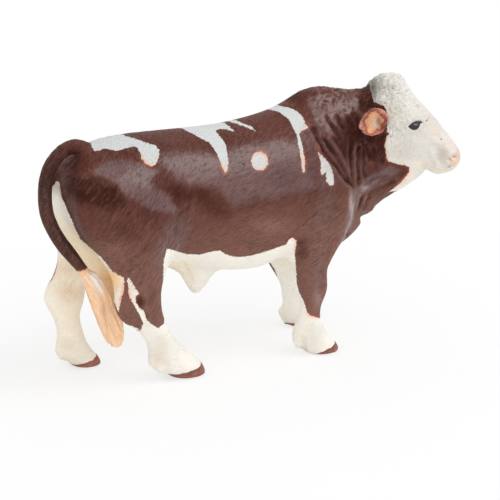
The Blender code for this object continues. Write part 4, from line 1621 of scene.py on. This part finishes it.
BODY_FOLDS = tuple(Crease(*row) for row in (
    (((57.5, 181), (60, 190), (63, 202), (69, 216), (77, 231), (87, 246), (99, 258)), 0.8, -0.3),
    (((168, 250), (171, 238), (176, 227), (183, 217)), 1.8, 0.22),
    (((162, 247), (166, 238), (170, 227), (172, 214), (170, 203)), 1.5, -0.42),
    (((291, 238), (298, 241), (306, 240), (316, 236)), 1.6, 0.4),
    (((296, 243), (296, 254), (296.5, 266)), 1.0, 0.3),
    (((334, 241), (329, 252), (325, 262), (321, 272)), 1.2, 0.35),
    (((322, 275), (321, 284), (318, 292)), 0.9, 0.3),
    (((173.4, 261), (180, 270), (187.5, 284)), 0.8, -0.35),
    (((182, 262), (187, 270), (191, 280)), 0.6, 0.3),
    (((150, 292), (153, 305), (155, 318)), 1.2, 0.3),
    (((136, 292), (139, 304), (143, 316)), 0.9, 0.35),
    (((153, 364), (158, 368)), 1.9, -0.8),
    (((165.5, 364), (167, 371)), 1.0, 0.7),
    (((295, 341), (299, 346)), 1.6, -0.7),
    (((303, 341), (304, 349)), 0.9, 0.6),
    (((174, 352), (184, 360), (194, 362)), 2.2, -0.25),
    (((318, 334), (326, 341)), 2.0, -0.25),
))
FACE_FOLDS = tuple(Crease(*row) for row in (
    (((437, 150), (440.5, 156), (444, 163)), 1.5, 0.7),
    (((430, 151), (433.5, 158), (437.5, 165)), 1.0, -0.3),
    (((423, 149), (428, 156), (433, 163)), 0.8, 0.25),
    (((456.5, 163), (452.5, 165.5), (448, 167), (443, 166.5)), 0.5, 0.55),
    (((446, 150), (450, 153), (455, 155)), 1.2, -0.3),
    (((449.3, 160.6), (450.6, 158.6), (453, 157.6), (454.6, 156.4)), 0.55, 0.7),
    (((406.6, 126.3), (410.3, 122.4), (415, 119.7), (420, 119.8), (423.5, 123.6)), 0.5, -0.3),
    (((407, 127.5), (410.5, 130.6), (414.8, 131.8), (419.8, 129), (422, 125.5)), 0.5, -0.28),
    (((408.2, 126.2), (411, 123.4), (415, 121), (418.5, 120.7), (421.9, 123.6)), 0.32, 0.3),
    (((408.2, 126.4), (411, 128.8), (414.4, 130.2), (418.4, 128.3), (420.2, 125.4)), 0.32, 0.26),
    (((424, 126), (432, 136), (440, 146)), 1.6, -0.25),
    (((429, 145), (424, 140), (418, 137)), 1.2, 0.2),
))


@dataclass(frozen=True)
class Nudge:
    """A small move of the outline, by its place, reach and way in the picture."""

    place: tuple[float, float]
    reach: tuple[float, float]
    move: tuple[float, float]


NUDGES = tuple(Nudge(*row) for row in (
    ((365, 218.5), (5, 4), (-4.5, -1.5)),
    ((372, 210), (4, 3), (1.0, 0.6)),
    ((387, 70), (9, 5), (0, 1.8)),
    ((388, 71), (1.6, 3), (0, 1.0)),
    ((278, 305), (5, 12), (4.2, 0)),
    ((283, 323), (4, 4), (-1.5, 2.5)),
    ((61, 357), (4, 4), (-0.5, 1.6)),
    ((199, 292), (5, 6), (-2.0, -1.2)),
))


HAIR_SLOPES = (
    (50, (-45, 3, 55), (26, 60, 30)),
    (18, (-5, 3, 50), (28, 60, 26)),
    (42, (25, 3, 55), (18, 60, 30)),
    (25, (20, 3, 25), (16, 60, 16)),
    (75, (42, 0, 60), (14, 60, 26)),
)


@dataclass
class Sculptor:
    """Works folds, fur and features into the skin."""

    surface: Surface
    fur_noise: Noise = field(default_factory=lambda: Noise(3))
    curl_noise: Noise = field(default_factory=lambda: Noise(5))
    fold_depth: float = 1.15
    hair: Triple = (4.5, 1.15, 3.0)
    coat_depth: float = 0.08
    crest_depth: float = 0.24
    wool_depth: float = 0.3
    poll_depth: float = 0.4
    eye_bulge: float = 0.2

    def sculpt(self) -> Array:
        """Does all the work.

        Returns:
            The relief, from about -1 to 1, that the paint follows with painted shade in its hollows and
            painted highlight on its ridges.
        """
        surface = self.surface
        self.folds = np.zeros(len(surface.points))
        self.fold(NECK_FOLDS, 1.0)
        self.fold(BODY_FOLDS, 0.3)
        self.fold(FACE_FOLDS, 0.3)
        surface.smooth(1, 0.3)
        points = surface.points
        local = HEAD.local(points)
        face = (local[:, 0] > -3.5) & (points[:, 2] > 52) & (points[:, 0] > 30)
        folded, _ = SYMMETRY.near(points, surface.normals)
        pixels = VIEW.pixels(folded)
        white = smoothstep(inside(pixels, FACE), -0.6, 0.4) * before_throat(points)
        cheek = bell(pixels, *CHEEK) * 0.9
        woolly = white * np.maximum(fade(local[:, 0], 11, 24), cheek)
        poll = bell(local, *POLL)
        tufts = 1.9 * np.abs(self.curl_noise(points / 1.9 + 3)) - 0.45
        curls = self.curls(points, 1.2) * 0.5 + self.curls(points + 7, 0.72) * 0.45
        curls += tufts * (0.4 + poll * 0.7)
        crest = bell(points, *CREST) * ~face
        fur = self.fur(points) * (1 - crest * 0.5) + self.curls(points, 1.5) * crest * 0.7
        legs = fade(points[:, 2], 16, 26)
        relief = fur * (1 - woolly) * (1 - legs * 0.6) + curls * woolly
        snout = white * (1 - woolly)
        ball = smoothstep(inside(pixels, EYE), 0, 0.7) * face
        depth = (self.coat_depth + self.crest_depth * crest) * (1 - woolly) * (1 - snout * 0.8)
        depth += (self.wool_depth + self.poll_depth * poll) * woolly
        relief *= 1 - ball
        surface.push(ball * self.eye_bulge)
        surface.push(relief * depth)
        self.nudge(NUDGES)
        surface.read_normals()
        return np.clip(relief * (1 - snout * 0.8) * (1 - legs * 0.7) * (1 + 1.2 * crest), -1, 1)

    def nudge(self, nudges: Sequence["Nudge"]) -> None:
        """Moves small areas sideways or up in the picture, through the whole figure."""
        surface = self.surface
        seen = VIEW.pixels(surface.points)
        for nudge in nudges:
            share = bell(seen, nudge.place, nudge.reach)[:, None]
            across, down = nudge.move
            surface.points += share * (VIEW.right * across - VIEW.up * down) / VIEW.grain
        surface.points[:, 2] = np.maximum(surface.points[:, 2], 0)

    def fold(self, creases: Sequence[Crease], paint: float) -> None:
        """Engraves creases on the near side, and the same on the far side.

        Args:
            creases: What is engraved.
            paint: How much of their relief is also laid in the colour, as painted shade in the grooves and
                painted highlight on the ridges.
        """
        surface = self.surface
        tree = surface.tree()
        eye = Vector(VIEW.eye)
        height = np.zeros(len(surface.points))
        for crease in creases:
            corners = np.array(crease.line, float)
            steps = [np.linspace(start, end, 5)[:-1] for start, end in zip(corners, corners[1:])]
            pixels = np.concatenate([*steps, corners[-1:]])
            hits = [tree.ray_cast(eye, VIEW.ray(tuple(pixel)))[0] for pixel in pixels]
            near = np.array([tuple(hit) for hit in hits if hit is not None])
            if len(near) < 2:
                LOG.warning("a crease misses the skin at %s", crease.line[0])
                continue
            lines = [near]
            if crease.both:
                lines.append(self.mirrored(near, tree))
            for line, share in zip(lines, (1.0, 0.35)):
                raised = self.groove(line, crease)
                height += raised
                self.folds += raised * paint * share
        surface.push(height)
        surface.read_normals()

    def mirrored(self, line: Array, tree: BVHTree) -> Array:
        """The same line on the far side of the figure."""
        local = HEAD.local(line)
        head = (local[:, 0] > -2) & (line[:, 2] > 50) & (line[:, 0] > 34)
        other = line.copy()
        other[:, 1] = 2 * SYMMETRY.centre(line) - line[:, 1]
        local[:, 1] *= -1
        low = smoothstep(SYMMETRY.stride_top - line[:, 2], 0, SYMMETRY.stride_top)
        other[:, 0] -= low * SYMMETRY.stride(line)
        other = np.where(head[:, None], HEAD.world(local), other)
        return np.array([tuple(tree.find_nearest(Vector(place))[0]) for place in other])

    def groove(self, line: Array, crease: Crease) -> Array:
        """The height that one crease gives each point."""
        reach = crease.reach
        points = self.surface.points
        low, high = line.min(0) - reach * 3.5, line.max(0) + reach * 3.5
        close = np.flatnonzero(((points > low) & (points < high)).all(1))
        height = np.zeros(len(points))
        if len(close):
            spot = points[close]
            sway = self.curl_noise.drift(spot / 3.2, (3, 29, 53))
            away = to_line(spot + sway * 0.45, line) / reach
            patchy = np.clip(0.75 + 0.8 * self.curl_noise(spot / 4.5 + 71), 0.15, 1.4)
            lips = 0.35 * np.exp(-(((away - 1.9) / 0.8) ** 2)) if crease.depth > 0 else 0.0
            height[close] = crease.depth * (lips - np.exp(-(away**2))) * self.fold_depth * patchy
        return height

    def fur(self, points: Array) -> Array:
        """Engraved strokes of the coat, sloping as they do on each part."""
        total = np.zeros(len(points))
        weights = np.zeros(len(points))
        for slope, centre, reach in HAIR_SLOPES:
            angle = math.radians(slope)
            with_hair = points[:, 0] * math.cos(angle) + points[:, 2] * math.sin(angle)
            over_hair = points[:, 2] * math.cos(angle) - points[:, 0] * math.sin(angle)
            spot = np.stack([with_hair, over_hair, points[:, 1]], 1) / self.hair
            weight = bell(points, centre, reach) + 1e-4
            total += weight * self.fur_noise(spot)
            weights += weight
        return total / weights * 1.3

    def curls(self, points: Array, width: float) -> Array:
        """Woolly curls, as on the poll.

        Args:
            points: Places of the skin.
            width: The width of a curl.

        Returns:
            Heights from about -1 to 1.
        """
        spot = points / width
        bend = self.curl_noise.drift(spot * 0.7, (0, 17.3, 41.7))
        return 1 - 2.6 * np.abs(self.curl_noise(spot * 0.8 + bend * 0.9 + 5))


@dataclass
class Tail:
    """The tail past its seam, with the switch of long hair at its end."""

    voxel: float = 0.42
    swell: float = 0.05
    smoothing: int = 8
    finer_below: float = 46.0
    lock: Triple = (1.3, 1.3, 15)
    strand: Triple = (0.55, 0.6, 9)
    short_hair: Triple = (0.9, 0.9, 4)
    tip: Pixels = (
        (30, 130), (130, 130), (130, 200), (66, 226), (84, 252), (88.4, 261), (88, 266.5), (85.4, 269.6),
        (81, 271), (74, 272), (58, 262), (30, 240),
    )
    # Pale locks at the top of the switch: partly paler hair, partly painted highlight.
    pale_lock_highlights: tuple[tuple[float, ...], ...] = ((98, 276, 7, 9, 1.5), (101, 286, 4, 9, 0.8))
    path: Pixels = ((-62.0, 41.0), (-57.1, 34.2), (-53.9, 27.0), (-51.2, 19.0), (-48.7, 11.0))
    strand_noise: Noise = field(default_factory=lambda: Noise(11))

    def build(self, material: bpy.types.Material) -> bpy.types.Object:
        """Makes the tail.

        Args:
            material: Its finish.

        Returns:
            The finished piece.
        """
        mesh = even_mesh(dense_copy("tail", self.swell), self.voxel)
        surface = Surface(mesh)
        surface.smooth(self.smoothing)
        refine(mesh, surface.points[:, 2] < self.finer_below)
        surface = Surface(mesh)
        points = surface.points
        switch, loose, strands = self.locks(points)
        short = self.strand_noise(points / self.short_hair)
        relief = strands * loose + short * 0.6 * (1 - loose)
        step = -0.3 * smoothstep(switch, -0.2, 0.5) * (1 - smoothstep(switch, 0.5, 3.5))
        surface.push(relief * (0.09 + 0.26 * loose) + step)
        slim = np.minimum(points[:, 0] - self.middle(points), 0) * fade(points[:, 2], 36, 44)
        points[:, 0] -= slim * 0.3
        surface.read_normals()
        TAIL.halved(mesh, 0.0, False)
        points = Surface(mesh).points
        pixels = VIEW.pixels(points)
        switch, loose, strands = self.locks(points)
        waves = np.clip(strands, -1, 1)[:, None]
        pale = np.clip(weigh(pixels, self.pale_lock_highlights), 0, 1)
        brown = np.array(linear(88, 54, 45)) * (1 + 0.25 * waves)
        values = {
            "coat": -switch,
            "relief": strands * loose * 0.7,
            "rim": np.full(len(points), 0.4),
            "polish": 0.25 + cover(pixels, SHEEN_ZONES) * 0.6,
            "haunch": np.ones(len(points)),
            "light_coat": blend(np.array(linear(255, 212, 172)), pale, (250, 242, 236))
            * (1 + waves * loose[:, None] * 0.22),
            # Painted shade darkens the top of the tail, near its root.
            "dark_coat": touched(brown, pixels, (Mark((45, 180), (12, 26), (66, 37, 31), 0.8),)),
        }
        kept(mesh, plain(len(points)) | values)
        return finish("tail_and_switch", mesh, material, ["tail"])

    def locks(self, points: Array) -> tuple[Array, Array, Array]:
        """How far inside the switch each point is, how loose the hair is there, and its strands."""
        switch = -inside(VIEW.pixels(points), self.tip)
        return switch, smoothstep(switch, 0, 3), self.strands(points)

    def middle(self, points: Array) -> Array:
        """How far forward the middle of the switch lies at each point's height."""
        along, height = np.array(self.path).T
        return np.interp(points[:, 2], height[::-1], along[::-1])

    def strands(self, points: Array) -> Array:
        """Long wavy locks that run down the switch."""
        across = points[:, 0] - self.middle(points) + 0.5 * np.sin(points[:, 2] / 3.1 + points[:, 1])
        spot = np.stack([across, points[:, 1], points[:, 2]], 1)
        wide, thin = self.strand_noise(spot / self.lock), self.strand_noise(spot / self.strand + 9)
        return wide * 1.1 + thin * 0.8


def plain(count: int) -> dict[str, Array]:
    """Values for a piece that has no eye, no painted wool shade or eye glint, and no varnish of its own."""
    names = {"eye": -2.0, "rim": 0.0, "wool_shade_and_eye_glint": 0.0, "polish": 0.0, "haunch": 0.0, "shoulder": 0.0}
    return {name: np.full(count, value) for name, value in names.items()}


@dataclass
class Ear:
    """One cupped ear with hair in its opening."""

    name: str
    voxel: float = 0.24
    swell: float = 0.05
    smoothing: int = 6
    middle: tuple[float, float] = (373.5, 121.5)
    opening: Pixels = (
        (374.4, 110.9), (376.8, 111.6), (379.3, 114.4), (381.8, 117.5), (384.2, 120), (382.5, 122.5),
        (381, 124.5), (381, 127.4), (377.9, 129.1), (374.4, 130.9), (372.6, 133.3), (370.5, 133.7),
        (368.4, 131.9), (366.7, 129.1), (367, 126), (365.6, 123.2), (365.3, 120.4), (367.7, 118.2),
        (368.8, 115.4), (371.6, 112.3),
    )
    outline: Pixels = (
        (358.8, 127.5), (360.4, 120.9), (365.9, 113.2), (371.4, 108.8), (376.9, 107.5), (382.4, 109.4),
        (385.7, 112.1), (388.2, 116.5), (387.6, 120.4), (385.6, 123), (385, 128), (381.6, 132.2),
        (376.9, 134.4), (371.4, 135.9), (365.9, 135.1), (361.5, 132),
    )
    opening_highlight_and_shade: tuple[Mark, ...] = (
        # White hair in the opening, partly painted highlight.
        Mark((377, 126), (3.6, 7), (250, 244, 232)),
        # The next two marks are painted shade deep in the opening.
        Mark((378.5, 121), (2.6, 4), (156, 130, 112), 0.7),
        Mark((381, 124.3), (2.2, 2.8), (106, 58, 42)),
    )
    shaded: tuple[Mark, ...] = (
        Mark((371, 109.5), (9, 3.4), (134, 88, 76)),
        Mark((361, 118), (4, 6), (134, 88, 76), 0.75),
        Mark((384, 127), (4, 5), (134, 88, 76), 0.85),
    )
    hair: Noise = field(default_factory=lambda: Noise(13))

    def build(self, material: bpy.types.Material) -> bpy.types.Object:
        """Makes the ear.

        Args:
            material: Its finish.

        Returns:
            The finished piece.
        """
        mesh = even_mesh(dense_copy(self.name, self.swell), self.voxel)
        surface = Surface(mesh)
        surface.smooth(self.smoothing)
        local = HEAD.local(surface.points)
        side = -1 if local[:, 1].mean() < 0 else 1
        local[:, 1] *= -side
        pixels = VIEW.pixels(HEAD.world(local))
        over = np.maximum(-inside(pixels, self.outline), 0)[:, None]
        home = np.array(self.middle) - pixels
        home = home / np.linalg.norm(home, axis=1)[:, None] * over
        local = local + (home[:, :1] * VIEW.right - home[:, 1:] * VIEW.up) @ HEAD.axes.T
        pixels = VIEW.pixels(HEAD.world(local))
        surface.points = points = HEAD.world(local * (1, -side, 1))
        surface.read_normals()
        lumps, jags = self.hair(points / 1.9), self.hair(points / 0.8)
        uneven = np.clip(lumps + jags, -1, 1)
        hollow = inside(pixels, self.opening) + jags * 0.45
        outward = -(surface.normals @ HEAD.axes.T)[:, 1] * -side
        hollow = np.where(outward > 0.0, hollow, -2)
        rows = local[:, (0, 2, 1)] / (0.55, 4, 3)
        strands = self.hair(rows)
        within = smoothstep(hollow, -0.2, 0.7)
        surface.push(within * (strands * 0.16 - 0.35) + (1 - within) * (lumps * 0.3 + jags * 0.12))
        surface.read_normals()
        rear = self.hair(rows * (0.5, 1, 1) + 5)
        streaks = (1 + (0.2 * np.clip(strands, -1, 1) + 0.1 * rear) * within)[:, None]
        shade = [bell(pixels, mark.place, mark.reach) * mark.strength for mark in self.shaded]
        rim = np.array(linear(222, 152, 136)) * (1 + 0.4 * uneven)[:, None]
        rim = blend(rim, np.maximum.reduce(shade), self.shaded[0].colour)
        values = {
            "coat": -hollow,
            "relief": uneven * (1 - within),
            "rim": np.full(len(points), 0.8),
            "polish": np.full(len(points), 0.25),
            "light_coat": touched(np.array(linear(253, 206, 162)), pixels, self.opening_highlight_and_shade) * streaks,
            "dark_coat": touched(rim, pixels, (Mark((388, 117), (4, 8), (222, 146, 130), 0.6),)),
        }
        kept(mesh, plain(len(points)) | values)
        return finish(self.name + "_cup", mesh, material, [self.name])


def main() -> None:
    """Builds the figure and its stage."""
    logging.basicConfig(level=logging.INFO)
    VIEW.place_camera()
    skin = Skin().build()
    surface = Surface(skin)
    sculptor = Sculptor(surface)
    relief = sculptor.sculpt()
    values = Painter(surface, relief, sculptor.folds).paint()
    values["skin_normal"] = surface.normals
    kept(skin, values)
    finishes = {slot: PaintedPlastic(slot).build() for slot in Slot}
    for name, piece in Parting().part(skin).items():
        slot = {"torso": Slot.BROWN, "head": Slot.FACE}.get(name, Slot.LEG)
        made = finish(name + "_skin", piece, finishes[slot], [name])
        shading_from(made)
    Tail().build(finishes[Slot.BROWN])
    for name in ("right_ear", "left_ear"):
        Ear(name).build(finishes[Slot.EAR])
    Studio().build()


if __name__ == "__main__":
    main()
